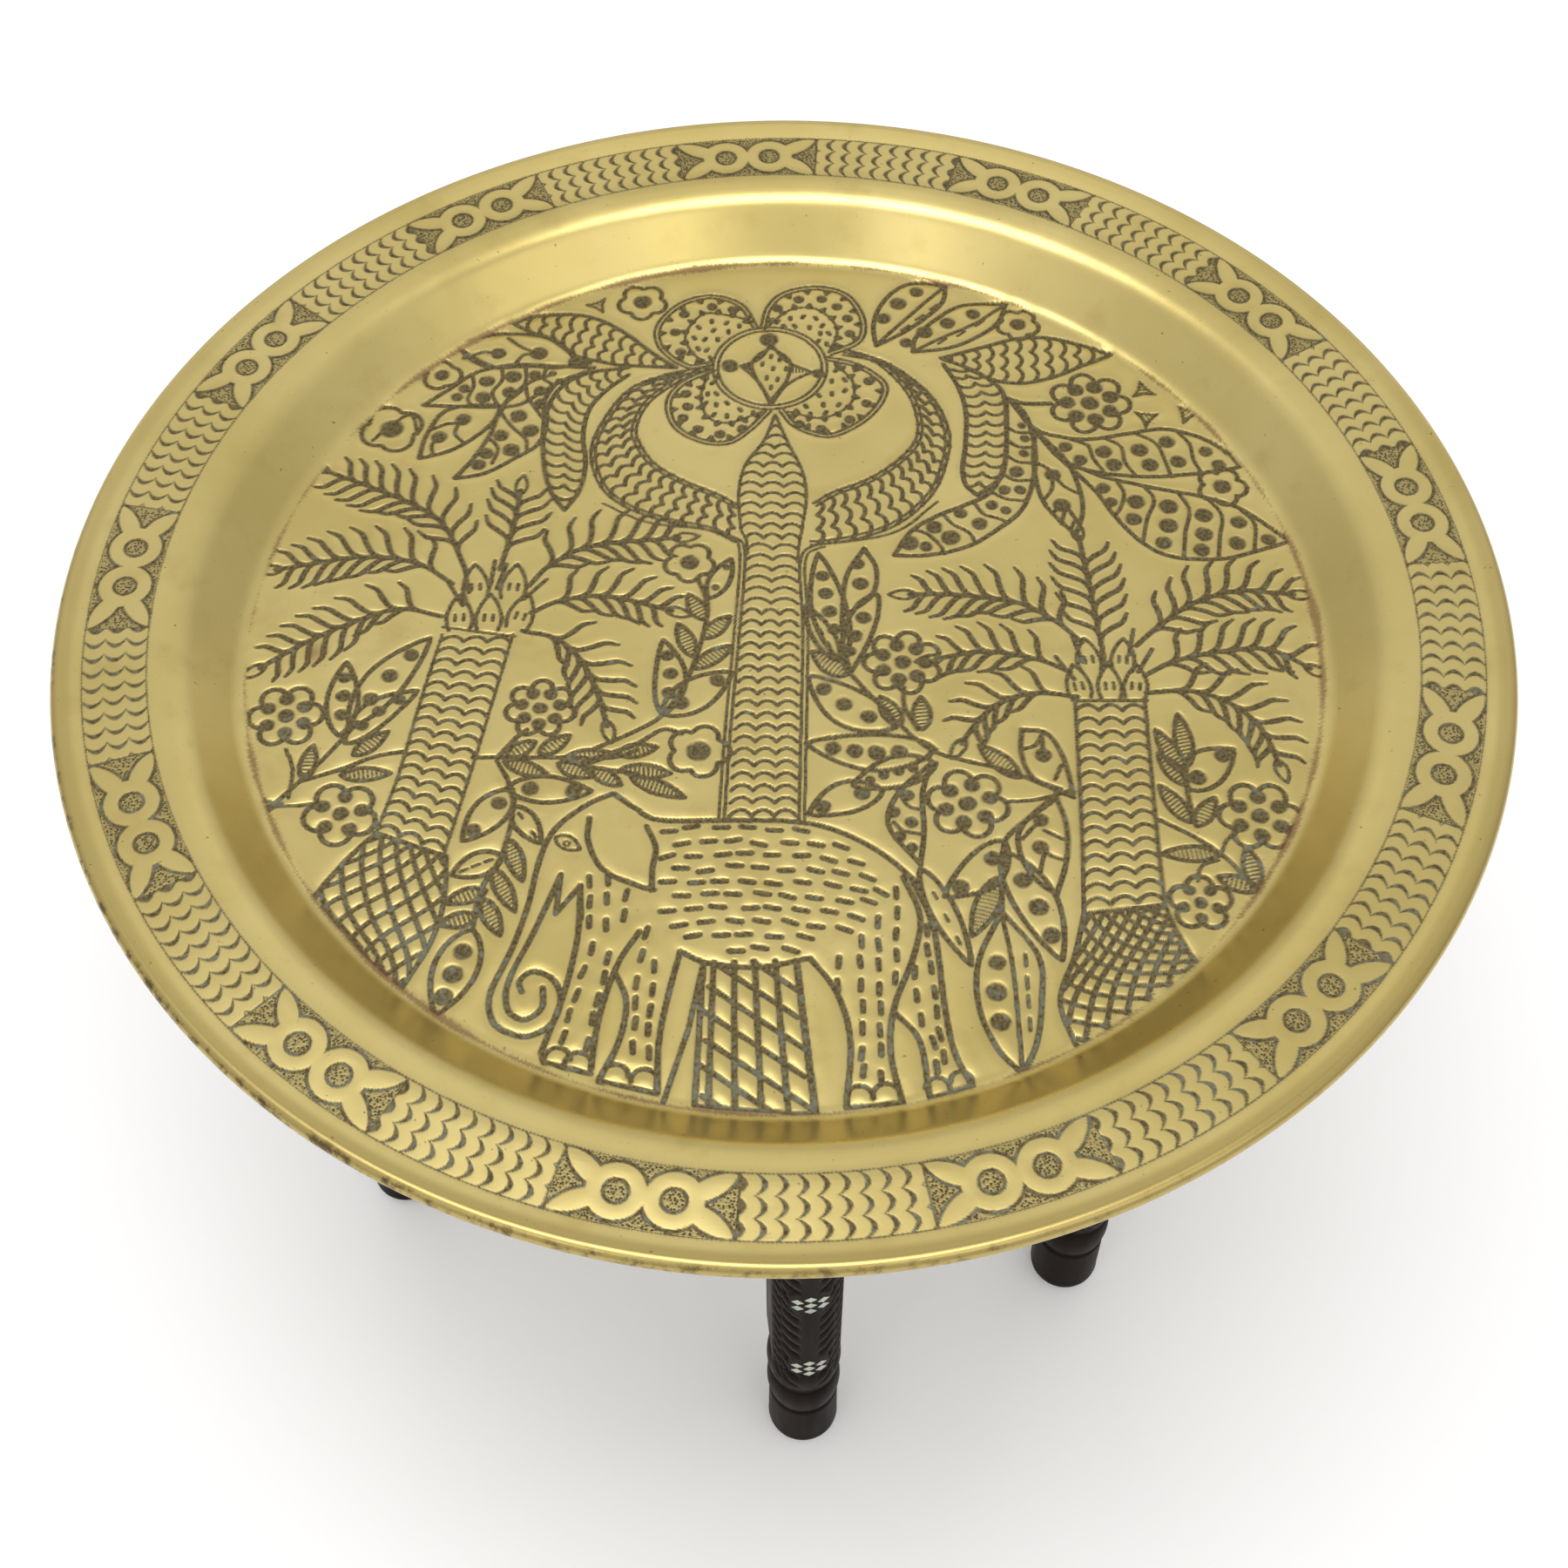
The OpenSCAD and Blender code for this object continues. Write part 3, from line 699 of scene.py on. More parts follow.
def draw_middle_right(plate):
    pod(plate, (25, -14), (15, 45), 15, 4, 1, 2.6)
    bean_leaf(plate, [(25, -2), (25, 12), (27, 32), (35, 48)], [(28, 12), (38, 22), (40, 36), (35, 48)],
              [(32, 39, 2.6), (33, 28, 3)])
    bean_leaf(plate, [(28, 10), (33, 18), (40, 22), (40, 10), (35, -6), (28, -20)],
              [(28, 10), (25, -4), (28, -20)],
              [(34, 9, 2.9), (30, -1, 3), (28, -9, 2.3)])
    dash_leaf(plate, (23, -14), (9, 16), 9, 3)
    hatch_leaf(plate, (26, -22), (12, -9), 9)
    pod(plate, (46, -49), (10, -22), 19, 3, 3, 2.9)
    pod(plate, (62, -60), (9, -57), 18, 4, 3, 2.9)
    stem(plate, (27, -20), (45, -44), (60, -60), (75, -66), (92, -71), (117, -84))
    pod(plate, (62, -67), (28, -78), 15, 4, -1, 1.9)
    pod(plate, (40, -80), (10, -92), 15, 2, -2, 2.8)
    bean_leaf(plate, [(60, -67), (46, -82), (42, -98), (54, -116)],
              [(60, -67), (56, -82), (56, -100), (54, -116)],
              [(50, -83, 2.4), (44, -91, 2.4), (51, -96, 2.4), (46, -103, 2.3), (51, -108, 2.1)],
              [[(46, -80), (50, -88), (56, -90)], [(44, -96), (48, -100), (56, -102)]])
    rosette(plate, 50, -15, 16.5, 7, 0.9)
    stem(plate, (50, -28), (50, -38), (55, -50))
    for base, tip in (((48, -48), (40, -33)), ((57, -50), (57, -33)), ((96, -74), (80, -58))):
        hatch_leaf(plate, base, tip, 7.5)
    rosette(plate, 74, -87, 16.5, 6, 0.3)
    stem(plate, (90, -86), (102, -85), (117, -80), width=1.5)
    bean_leaf(plate, [(98, -50), (97, -62), (101, -74), (112, -80)],
              [(98, -50), (108, -52), (114, -64), (117, -82)],
              [(106, -63, 3)],
              [[(97, -60), (103, -58), (106, -53)], [(106, -54), (106, -60)], [(110, -75), (113, -68)]])
    bean_leaf(plate, [(110, -84), (95, -98), (94, -112), (100, -124), (107, -130)],
              [(110, -84), (113, -98), (112, -114), (107, -130)],
              [(103, -95, 2.7), (102, -108, 2.9)],
              [[(95, -104), (100, -98), (103, -95)], [(111, -104), (104, -100)],
               [(101, -120), (103, -112)], [(111, -114), (106, -112), (103, -109)]])
    stem(plate, (112, -80), (100, -92), (90, -102), (87, -110), (85, -138))
    pod(plate, (88, -105), (63, -131), 16, 2, 3, 3)
    hatch_leaf(plate, (85, -122), (73, -149), 9)
    pod(plate, (87, -110), (107, -160), 17, 3, 2, 3.1)
    bean_leaf(plate, [(85, -138), (75, -160), (74, -180), (80, -198), (89, -209)],
              [(85, -138), (98, -158), (98, -178), (95, -196), (89, -209)],
              [(82, -161, 3), (81, -174, 3.4), (82, -187, 3.3)], [[(85, -140), (88, -165), (89, -208)]])
    for y in (-160, -170, -178, -188):
        plate.dash(93, y, 5, 90, 1.5)
    dash_leaf(plate, (54, -118), (72, -162), 10, 3)


def draw_far_right(plate):
    for base, tip in (((163, -72), (153, -50)), ((165, -68), (163, -42)), ((163, -78), (153, -62)),
                      ((163, -96), (152, -78)), ((165, -98), (174, -84)), ((173, -111), (150, -111)),
                      ((186, -126), (184, -108)), ((186, -128), (171, -122))):
        hatch_leaf(plate, base, tip, 7)
    pod(plate, (164, -80), (184, -60), 17, 2, 2, 3)
    stem(plate, (165, -98), (163, -80), (164, -66))
    rosette(plate, 191, -93, 16.5, 6, 0.5)
    rosette(plate, 163, -134, 12.5, 5, 0.9)
    stem(plate, (149, -94), (165, -104), (176, -114), (187, -130))
    stem(plate, (173, -112), (177, -104), (184, -98), width=1.4)
    stem(plate, (172, -114), (165, -117), (163, -124), width=1.4)


ELEPHANT_LINES = [
    [(-69, -82), (-80, -88), (-92, -100), (-97, -115), (-100, -135), (-105, -155), (-112, -175),
     (-110, -187), (-103, -192), (-96, -193), (-88, -188), (-85, -178), (-88, -169), (-96, -165),
     (-101, -169), (-100, -174)],
    [(-88, -121), (-92, -133), (-98, -150), (-104, -165), (-106, -175), (-104, -183), (-98, -186),
     (-92, -181), (-92, -172)],
    [(-78, -94), (-78, -105), (-72, -118), (-60, -125), (-51, -128)],
    [(-55, -98), (-51, -108), (-52, -118), (-52, -128)],
    [(-69, -82), (-60, -89), (-50, -95), (-22, -95), (7, -96), (25, -102), (40, -112), (52, -124)],
    [(-40, -156), (-30, -161), (-10, -163), (10, -159)],
    [(-80, -126), (-80, -150), (-84, -175), (-91, -200)],
    [(-56, -147), (-64, -162), (-70, -185), (-72, -207)],
    [(-65, -165), (-60, -178), (-62, -195), (-69, -212)],
    [(-40, -156), (-44, -175), (-47, -195), (-47, -217)],
    [(10, -159), (20, -174), (25, -195), (23, -223)],
    [(47, -122), (53, -140), (50, -158), (42, -180), (40, -200), (44, -222)],
    [(42, -183), (51, -195), (54, -219)],
    [(50, -122), (58, -145), (61, -180), (64, -200), (70, -214)],
]


def draw_elephant(plate):
    """The elephant: its outline, zigzag tusk, toes and rows of short strokes."""
    for points in ELEPHANT_LINES:
        plate.curve(points, width=2.0)
    tusk = [(-88, -121), (-89, -139), (-80, -126), (-79, -141)]
    soles = [[(-91, -200), (-90, -204), (-72, -209)], [(-69, -212), (-47, -217)],
             [(23, -223), (44, -221)], [(54, -219), (70, -214)]]
    plate.lines([tusk] + soles)
    for x, y, r in ((-85, -202, 5), (-77, -204, 5), (-63, -209, 5), (-52, -211, 5), (28, -218, 5),
                    (38, -217, 5), (57, -214, 4.5), (66, -211, 4)):
        plate.line(circle(x, y, r)[:21] - (0, 1), 1.7)
    plate.lines(leaf_sides((-91, -103), (-81, -109), 6), 1.3)       # the eye
    plate.line(circle(-86.5, -106, 1.2, 10), 0.9)

    hand = np.random.default_rng(2)
    for row in range(10):                           # strokes along the body
        y = -99 - 6.2 * row
        rump = 7 + 32 * math.sqrt(max(0, min(1, (-97 - y) / 26)))
        for k in range(10):
            x = -46 + 10.6 * k + (5.3 if row % 2 else 0)
            belly = -158 + 0.012 * (x + 12) ** 2
            if x < rump and y > belly and not (x > 38 and y < -128):
                dx, dy, turn = hand.normal(0, (0.7, 0.6, 6))
                plate.dash(x + dx, y + dy - 0.0016 * (x + 20) ** 2, 5.2, turn - 0.35 * (x + 25), 2.2)
    columns = [(-76, -124, -148, 0), (-69, -124, -150, 0), (-62, -130, -146, 4), (-75, -156, -203, 12),
               (-67.5, -158, -203, 9), (-53, -148, -158, 10), (-56, -169, -207, 2),
               (-50, -162, -207, 2), (21, -161, -171, 0), (29.5, -152, -214, 0), (36.5, -143, -214, 0),
               (44, -130, -170, 2), (55.5, -146, -156, 0), (50.5, -166, -186, -4),
               (56.5, -164, -208, -5), (56, -196, -207, -6)]
    for x, top, bottom, lean in columns:            # strokes down the legs
        for y in np.arange(top, bottom, -9.5):
            dx, dy, turn = hand.normal(0, (0.3, 0.6, 4))
            shift = math.tan(math.radians(lean)) * (y - top)
            plate.dash(x + dx + shift, y + dy, 4.6, 90 - lean + turn, 2.1)

    lattice(plate, [(-31, -161), (-32, -190), (-33, -222)], [(5, -160), (8, -190), (12, -226)],
            [(0.0, 0.22), (2.2, 0.42)], 2.0)
    plate.line([(-31, -161), (-36, -190), (-45, -222)], 1.8)
    plate.line([(-33, -222), (12, -226)], 1.6)


def draw_picture(plate):
    for draw in (draw_trunk, draw_crescents, draw_flower, draw_left_wing, draw_right_wing,
                 draw_left_palm, draw_right_palm, draw_far_left, draw_middle_left, draw_middle_right,
                 draw_far_right, draw_elephant):
        draw(plate)


# ---- the tray's outline, in millimetres, which repeats the part's own dimensions ----

RIM_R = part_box("tray")[1].x / MM
RIM_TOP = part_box("tray")[1].z / MM
EDGE_RISE = 2.5                     # from the border up to the top of the roll
BORDER_Z = RIM_TOP - EDGE_RISE
WELL_DEPTH = 25.5
SHEET = 1.5
BEND = 5.0                          # reach of each rounded bend
CURL_R = 3.55                       # outer radius of the rolled rim
WIRE_R = 2.05                       # inner radius of the rolled rim
CURL_TURN = 255                     # turn past the top at which the roll ends, in degrees
BORDER_OUT = RIM_R - 12.6
BORDER_IN = BORDER_OUT - 25.8
SHOULDER_R = BORDER_IN - 12.8
WELL_R = SHOULDER_R - 20.8
SHOULDER_DROP = 3.3
BORDER_MID = (BORDER_OUT + BORDER_IN) / 2
BORDER_HALF = (BORDER_OUT - BORDER_IN) / 2

# ---- the border: knots of two rings and four leaves, with panels of scallops between them ----

KNOTS = 13
KNOT_START = -17.1                  # angle of the first knot, in degrees
KNOT_HALF = 6.85                    # half the angle that a knot takes up, in degrees
RING_SHIFT = 10.4                   # from a knot's middle to each ring's middle
RING_OUT = 11.6
RING_HOLE = 4.5
LEAF_FROM = 13.0                    # from a knot's middle to where its leaves start
LEAF_HALF = 4.6
OUTLINE_HALF = 0.95                 # half the width of a knot's outline
SCALLOP_COLUMNS = 9
SCALLOP_ROWS = 3
SCALLOP_RISE = 3.6
BEADS = 1120                        # punched beads along each edge of the border
OUTSIDE = -9.0                      # stands for well outside a shape


def knot_inside(s, v, end):
    """How far a spot lies inside a knot, from its place along and across the border."""
    from_ring = np.hypot(s - RING_SHIFT, v)
    run, rise = end - 0.5 - LEAF_FROM, BORDER_HALF - 0.6
    leaf_length = math.hypot(run, rise)
    run, rise = run / leaf_length, rise / leaf_length
    along = ((s - LEAF_FROM) * run + np.abs(v) * rise) / leaf_length
    across = np.abs((s - LEAF_FROM) * rise - np.abs(v) * run)
    leaf = LEAF_HALF * np.abs(np.sin(math.pi * np.clip(along, 0, 1))) ** 0.6 - across
    leaf[(along < 0) | (along > 1)] = OUTSIDE
    return np.minimum(np.maximum(RING_OUT - from_ring, leaf), from_ring - RING_HOLE)


def scallop_cut(run, v, panel):
    """The depth of a panel's scallops, from the place along and across the border."""
    width = panel / SCALLOP_COLUMNS
    share = ((v + BORDER_HALF) / (2 * BORDER_HALF) * SCALLOP_ROWS) % 1
    hump = np.abs(np.sin(math.pi * share)) ** 0.75
    column = (run - SCALLOP_RISE * hump + SCALLOP_RISE / 2) / width + 0.5
    off = np.abs(column - np.round(column)) * width
    return 0.95 * np.clip(1 - (off / (0.62 + 0.72 * hump)) ** 2, 0, 1)


def border_fields(plate):
    """How far each spot of the border lies inside a knot, how deep it is cut, and which spots are
    stippled ground; the rest of the plate stays empty."""
    x, y = plate.axis[None], plate.axis[:, None]
    radius = np.hypot(x, y)
    near = np.abs(radius - BORDER_MID) < BORDER_HALF + 1
    angle = np.degrees(np.arctan2(y, x))[near]
    v = radius[near] - BORDER_MID
    pitch = 360 / KNOTS
    phase = (angle - KNOT_START + pitch / 2) % pitch - pitch / 2
    s = np.radians(np.abs(phase)) * BORDER_MID
    end = math.radians(KNOT_HALF) * BORDER_MID

    inside = knot_inside(s, v, end)
    in_border = np.abs(v) < BORDER_HALF - 0.3
    knot = (s < end) & in_border
    cut = np.where(knot, np.clip(1 - (inside / OUTLINE_HALF) ** 2, 0, 1), 0)
    ground = np.where(knot & (inside < 0), 1.0, 0.0)

    run = np.radians(phase % pitch - pitch / 2) * BORDER_MID        # 0 in the middle of a panel
    panel = 2 * (math.radians(pitch) * BORDER_MID / 2 - end)
    arcs = scallop_cut(run, v, panel)
    cut = np.maximum(cut, np.where((s > end + 0.4) & in_border, arcs, 0))

    panel_edge = np.clip(1 - ((s - end) / 0.55) ** 2, 0, 1) * (np.abs(v) < BORDER_HALF)
    beads = 0.35 + 0.65 * np.sin(np.radians(angle) * BEADS / 2) ** 2
    beaded_edge = 0.8 * beads * np.clip(1 - ((np.abs(v) - BORDER_HALF) / 0.6) ** 2, 0, 1)
    cut = np.maximum(np.maximum(cut, panel_edge), beaded_edge)

    fields = []
    for values in (inside * knot, cut, ground):
        grid = np.zeros(plate.cut.shape, np.float32)
        grid[near] = values
        fields.append(grid)
    return fields


def blur(grid, radius):
    """Three box blurs, which come close to a Gaussian of this radius in millimetres."""
    reach = max(int(round(radius / PLATE_STEP)), 1)
    size = 2 * reach + 1
    for _ in range(3):
        for axis in (0, 1):
            padding = [(0, 0), (0, 0)]
            padding[axis] = (reach + 1, reach)
            run = np.cumsum(np.pad(grid, padding, mode="edge"), axis=axis, dtype=np.float64)
            high = np.take(run, range(size, run.shape[axis]), axis=axis)
            low = np.take(run, range(0, run.shape[axis] - size), axis=axis)
            grid = ((high - low) / size).astype(np.float32)
    return grid


def grain(shape, radius, seed):
    """Smooth random values of unit spread."""
    noise = np.random.default_rng(seed).standard_normal(shape, dtype=np.float32)
    noise = blur(noise, radius)
    return noise / noise.std()


def sample(grid, plate, x, y):
    """The grid's values between its points."""
    i = np.clip((x + plate.half) / plate.step, 0, grid.shape[1] - 1.001)
    j = np.clip((y + plate.half) / plate.step, 0, grid.shape[0] - 1.001)
    i0, j0 = i.astype(int), j.astype(int)
    fi, fj = i - i0, j - j0
    low = grid[j0, i0] * (1 - fi) + grid[j0, i0 + 1] * fi
    high = grid[j0 + 1, i0] * (1 - fi) + grid[j0 + 1, i0 + 1] * fi
    return low * (1 - fj) + high * fj


SHARP, DIP, SWELL = 0.45, 1.35, 0.8     # depth of a cut, of the dip round it, and rise further off
WELL_RELIEF, BORDER_RELIEF = 0.8, 0.15  # how much of that the well and the border keep
DOME = 0.06                         # rise of a knot's rounded edges
GROUND_DROP = 0.2
UNEVEN = 0.05                       # the sheet's own unevenness
DEEPEST = -1.2


def engrave():
    """The plate, its relief in millimetres, and its shares of patina, ground and verdigris."""
    plate = Plate(PLATE_HALF, PLATE_STEP)
    draw_picture(plate)
    x, y = plate.axis[None], plate.axis[:, None]
    radius = np.hypot(x, y)
    plate.cut[radius > WELL_R - 1.5] = 0
    inside, border_cut, ground = border_fields(plate)
    cut = np.maximum(plate.cut, border_cut)
    cut *= np.clip(0.9 + 0.12 * grain(cut.shape, 0.8, 3), 0.5, 1.1)

    dip = blur(cut, 1.7)
    share = np.where(radius < SHOULDER_R, WELL_RELIEF, BORDER_RELIEF)
    relief = share * (SWELL * blur(cut, 5) - SHARP * cut - DIP * dip)
    relief += DOME * blur(np.sqrt(np.clip(inside / 3.5, 0, 1)), 0.3) - GROUND_DROP * ground
    relief += UNEVEN * grain(cut.shape, 6, 5) * (radius < BORDER_IN)
    relief = np.maximum(relief, DEEPEST)

    patches, flecks = grain(cut.shape, 5, 11), grain(cut.shape, 0.6, 13)
    low_half = np.clip(0.35 - y / 260, 0, 1) + 0.35 * np.clip((radius - 185) / 40, 0, 1)
    green = np.clip(0.8 * flecks + 0.5 * patches - 2.1 + 1.5 * low_half, 0, 0.5)
    verdigris = green * np.clip(cut * 1.4 - 0.3, 0, 1)
    patina = np.clip(np.clip(cut * 3.0 - 0.2, 0, 1) + 0.14 * np.clip(dip * 2.2, 0, 1), 0, 1)
    return plate, {"relief": relief, "patina": patina, "ground": ground, "verdigris": verdigris}


# ---- the tray ----

GRID = 720                          # cells across the well
RING_GAP, BORDER_GAP, UNDER_GAP = 1.3, 0.72, 6.0    # between rings, in millimetres
SEAM_STEP = 9                       # rings along the roll to its widest point
UNDER_COARSER = 3                   # times that the underside's rings are halved


def corner(a, b, c, reach, steps=5):
    """A rounded corner at b between a and c."""
    a, b, c = (np.array(p, float) for p in (a, b, c))
    start, end = b + unit(a - b) * reach, b + unit(c - b) * reach
    s = np.linspace(0, 1, steps + 1)[:, None]
    return start * (1 - s) ** 2 + b * 2 * s * (1 - s) + end * s ** 2


def spread(points, gap):
    """The same outline with points no further apart than the gap."""
    out = [points[0]]
    for a, b in zip(points[:-1], points[1:]):
        steps = max(int(math.ceil(np.hypot(*(b - a)) / gap)), 1)
        out += [a + (b - a) * k / steps for k in range(1, steps + 1)]
    return np.array(out)


def on_roll(r, turn):
    turn = math.radians(turn)
    return (RIM_R - CURL_R + r * math.sin(turn), BORDER_Z + EDGE_RISE - CURL_R + r * math.cos(turn))


def tray_outlines():
    """The tray's upper outline from the well to the roll, the roll, and its underside back in."""
    floor_z, shoulder_z = BORDER_Z - WELL_DEPTH, BORDER_Z - SHOULDER_DROP
    middle, well = (0, floor_z), (WELL_R, floor_z)
    shoulder, inner, outer = (SHOULDER_R, shoulder_z), (BORDER_IN, BORDER_Z), (BORDER_OUT, BORDER_Z)
    out, up = RIM_R - CURL_R - BORDER_OUT, EDGE_RISE - CURL_R
    tilt = math.degrees(math.atan2(up, out) + math.asin(CURL_R / math.hypot(out, up)))
    bends = [corner(middle, well, shoulder, BEND), corner(well, shoulder, inner, BEND),
             corner(shoulder, inner, outer, BEND), np.array([outer, on_roll(CURL_R, -tilt)])]
    top = np.vstack(bends)
    turns = np.linspace(-tilt, CURL_TURN, 27)[1:]
    roll = [on_roll(CURL_R, a) for a in turns] + [on_roll(WIRE_R, a) for a in turns[::-2]]
    ahead = np.gradient(top, axis=0)
    ahead /= np.hypot(*ahead.T)[:, None]
    under = (top + SHEET * np.stack([ahead[:, 1], -ahead[:, 0]], -1))[::-1]
    return top, np.array(roll), under[1:]


def tray_rings():
    """Where the well ends, the rings from there round the roll and back in below, the ring at the
    roll's widest point, and the last ring with full detail."""
    top, roll, under = tray_outlines()
    fine = spread(top, RING_GAP)[1:]
    inner, outer = fine[fine[:, 0] <= BORDER_IN - 1], fine[fine[:, 0] >= BORDER_OUT + 1]
    border = fine[(fine[:, 0] > BORDER_IN - 1) & (fine[:, 0] < BORDER_OUT + 1)]
    border = spread(np.vstack([inner[-1], border, outer[0]]), BORDER_GAP)[1:-1]
    upper = np.vstack([inner, border, outer])
    rings = np.vstack([upper, roll, spread(under, UNDER_GAP)])
    return top[0], rings, len(upper) + SEAM_STEP, len(upper) + len(roll) + 2


def ring_faces(inner, outer):
    """Quads between two rings of as many points."""
    return np.stack([inner, outer, np.roll(outer, -1), np.roll(inner, -1)], -1)


def halving_faces(fine, coarse):
    """Triangles and quads between a ring and one of half its points."""
    a, b, c = fine[0::2], fine[1::2], np.roll(fine, -2)[0::2]
    p, q = coarse, np.roll(coarse, -1)
    return np.stack([a, p, b], -1), np.stack([b, p, q, c], -1)


def well_grid(radius, floor_z):
    """A square grid bent into a disc: its points, its faces, and the points round its edge."""
    a = np.linspace(-1, 1, GRID + 1)
    u, v = np.meshgrid(a, a)
    wide = np.abs(u) > np.abs(v)
    reach = np.where(wide, u, v)
    other = np.where(wide, v, u)
    ratio = np.divide(other, reach, out=np.zeros_like(reach), where=reach != 0) * math.pi / 4
    angle = np.where(wide, ratio, math.pi / 2 - ratio)
    x, y = reach * np.cos(angle) * radius, reach * np.sin(angle) * radius
    points = np.stack([x.ravel(), y.ravel(), np.full(x.size, floor_z)], -1)
    n = np.arange((GRID + 1) ** 2).reshape(GRID + 1, GRID + 1)
    quads = np.stack([n[:-1, :-1], n[:-1, 1:], n[1:, 1:], n[1:, :-1]], -1).reshape(-1, 4)
    loop = np.concatenate([n[0, :-1], n[:-1, -1], n[-1, :0:-1], n[:0:-1, 0]])
    return points, quads, loop


class Shell:
    """A sheet that grows outwards ring by ring."""

    def __init__(self, points, quads, loop):
        self.places, self.quads, self.tris = [points], [quads], []
        self.total, self.last = len(points), loop
        self.around = np.arctan2(points[loop, 1], points[loop, 0])

    def ring(self, r, z, halve=False):
        if halve:
            self.around = self.around[::2]
        ring = self.total + np.arange(len(self.around))
        heights = np.full(len(ring), z)
        self.places.append(np.stack([r * np.cos(self.around), r * np.sin(self.around), heights], -1))
        if halve:
            three, four = halving_faces(self.last, ring)
            self.tris.append(three)
            self.quads.append(four)
        else:
            self.quads.append(ring_faces(self.last, ring))
        self.total, self.last = self.total + len(ring), ring

    def close(self, z):
        """A fan of triangles to one last point on the axis."""
        tip = np.full(len(self.last), self.total)
        self.places.append(np.array([[0, 0, z]]))
        self.tris.append(np.stack([self.last, tip, np.roll(self.last, -1)], -1))

    def faces(self):
        return [face for block in self.quads + self.tris for face in block.tolist()]


def tray_marks(x, y, upper):
    """The shares of stain, wear, and the roll's duller tone with painted shade, at each point."""
    radius, turn = np.hypot(x, y), np.arctan2(y, x)
    blotch = np.random.default_rng(21).standard_normal(len(x)) * 0.25
    blotch += 0.45 * np.sin(3 * turn + 2) + 0.4 * np.sin(11 * turn + 1) + 0.3 * np.sin(37 * turn)
    wall_foot = np.clip(1.0 - np.abs(radius - WELL_R + 1.5) / 1.3 + blotch, 0, 1)
    blemish = 0.8 * np.exp(-((x + 198) ** 2 + (y + 10) ** 2 / 2) / 14)
    worn_side = np.clip(0.35 + 0.65 * np.cos(turn - math.radians(228)), 0, 1) ** 2
    on_rim, outer_band = np.clip((radius - RIM_R + 3.5) / 2.5, 0, 1), (radius - RIM_R + 9.5) / 3
    # roll: a duller tone on the rolled rim and outer band, plus painted shade that is heaviest at the
    # front, towards the viewer
    return {"stain": upper * (wall_foot + blemish), "wear": on_rim * (0.2 + 0.8 * worn_side),
            "roll": np.clip(outer_band, 0, 1) * (0.45 - 0.35 * np.sin(turn))}


def add_shares(mesh, shares):
    """Stores named values at the mesh's points, for its material."""
    for name, values in shares.items():
        layer = mesh.attributes.new(name, "FLOAT", "POINT")
        layer.data.foreach_set("value", values.astype(np.float32))


def build_tray():
    """One closed sheet: a fine grid over the well, rings out to the roll, and a plain underside."""
    plate, fields = engrave()
    (well_edge, floor_z), rings, seam_ring, last_fine = tray_rings()
    shell = Shell(*well_grid(well_edge, floor_z))
    starts = []
    for k, (r, z) in enumerate(rings):
        starts.append(shell.total)
        shell.ring(r, z, halve=last_fine < k <= last_fine + UNDER_COARSER)
    while len(shell.last) % 2 == 0:                 # a coarse disc closes the underside
        r = np.hypot(*shell.places[-1][0][:2])
        shell.ring(max(r * 0.55, 6), floor_z - SHEET, halve=True)
    shell.close(floor_z - SHEET)

    points = np.vstack(shell.places)
    x, y, number = points[:, 0], points[:, 1], np.arange(len(points))
    upper = number < starts[seam_ring]
    shares = {name: sample(grid, plate, x, y) * upper for name, grid in fields.items()}
    points[:, 2] += shares.pop("relief")
    shares.update(tray_marks(x, y, upper))
    shares["under"] = (number >= starts[last_fine]).astype(float)

    mesh = bpy.data.meshes.new("tray_brass")
    mesh.from_pydata((points * MM).tolist(), [], shell.faces())
    add_shares(mesh, shares)
    lay_out(mesh, starts[seam_ring])
    mesh.shade_smooth()
    mesh.materials.append(brass())
    tray = place_object("tray_brass", mesh)
    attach(tray, "tray")
    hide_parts("tray")


def lay_out(mesh, seam_start):
    """A map for baking: the upper side as a large disc, and the underside as a small one."""
    uv = mesh.uv_layers.new(name="OFBake")
    corner_vertex = np.zeros(len(mesh.loops), np.int32)
    mesh.loops.foreach_get("vertex_index", corner_vertex)
    starts = np.zeros(len(mesh.polygons), np.int32)
    mesh.polygons.foreach_get("loop_start", starts)
    under = np.maximum.reduceat(corner_vertex, starts) >= seam_start
    counts = np.diff(np.append(starts, len(corner_vertex)))
    below = np.repeat(under, counts)[:, None]
    places = np.zeros(len(mesh.vertices) * 3, np.float32)
    mesh.vertices.foreach_get("co", places)
    flat = places.reshape(-1, 3)[corner_vertex][:, :2] / (RIM_R * MM)
    laid = np.where(below, 0.88 + 0.118 * flat * (1, -1), 0.40 + 0.398 * flat)
    uv.data.foreach_set("uv", laid.astype(np.float32).ravel())


# ---- materials ----

def material(name):
    made = bpy.data.materials.new(name)
    made.use_nodes = True
    return made, Graph(made.node_tree)


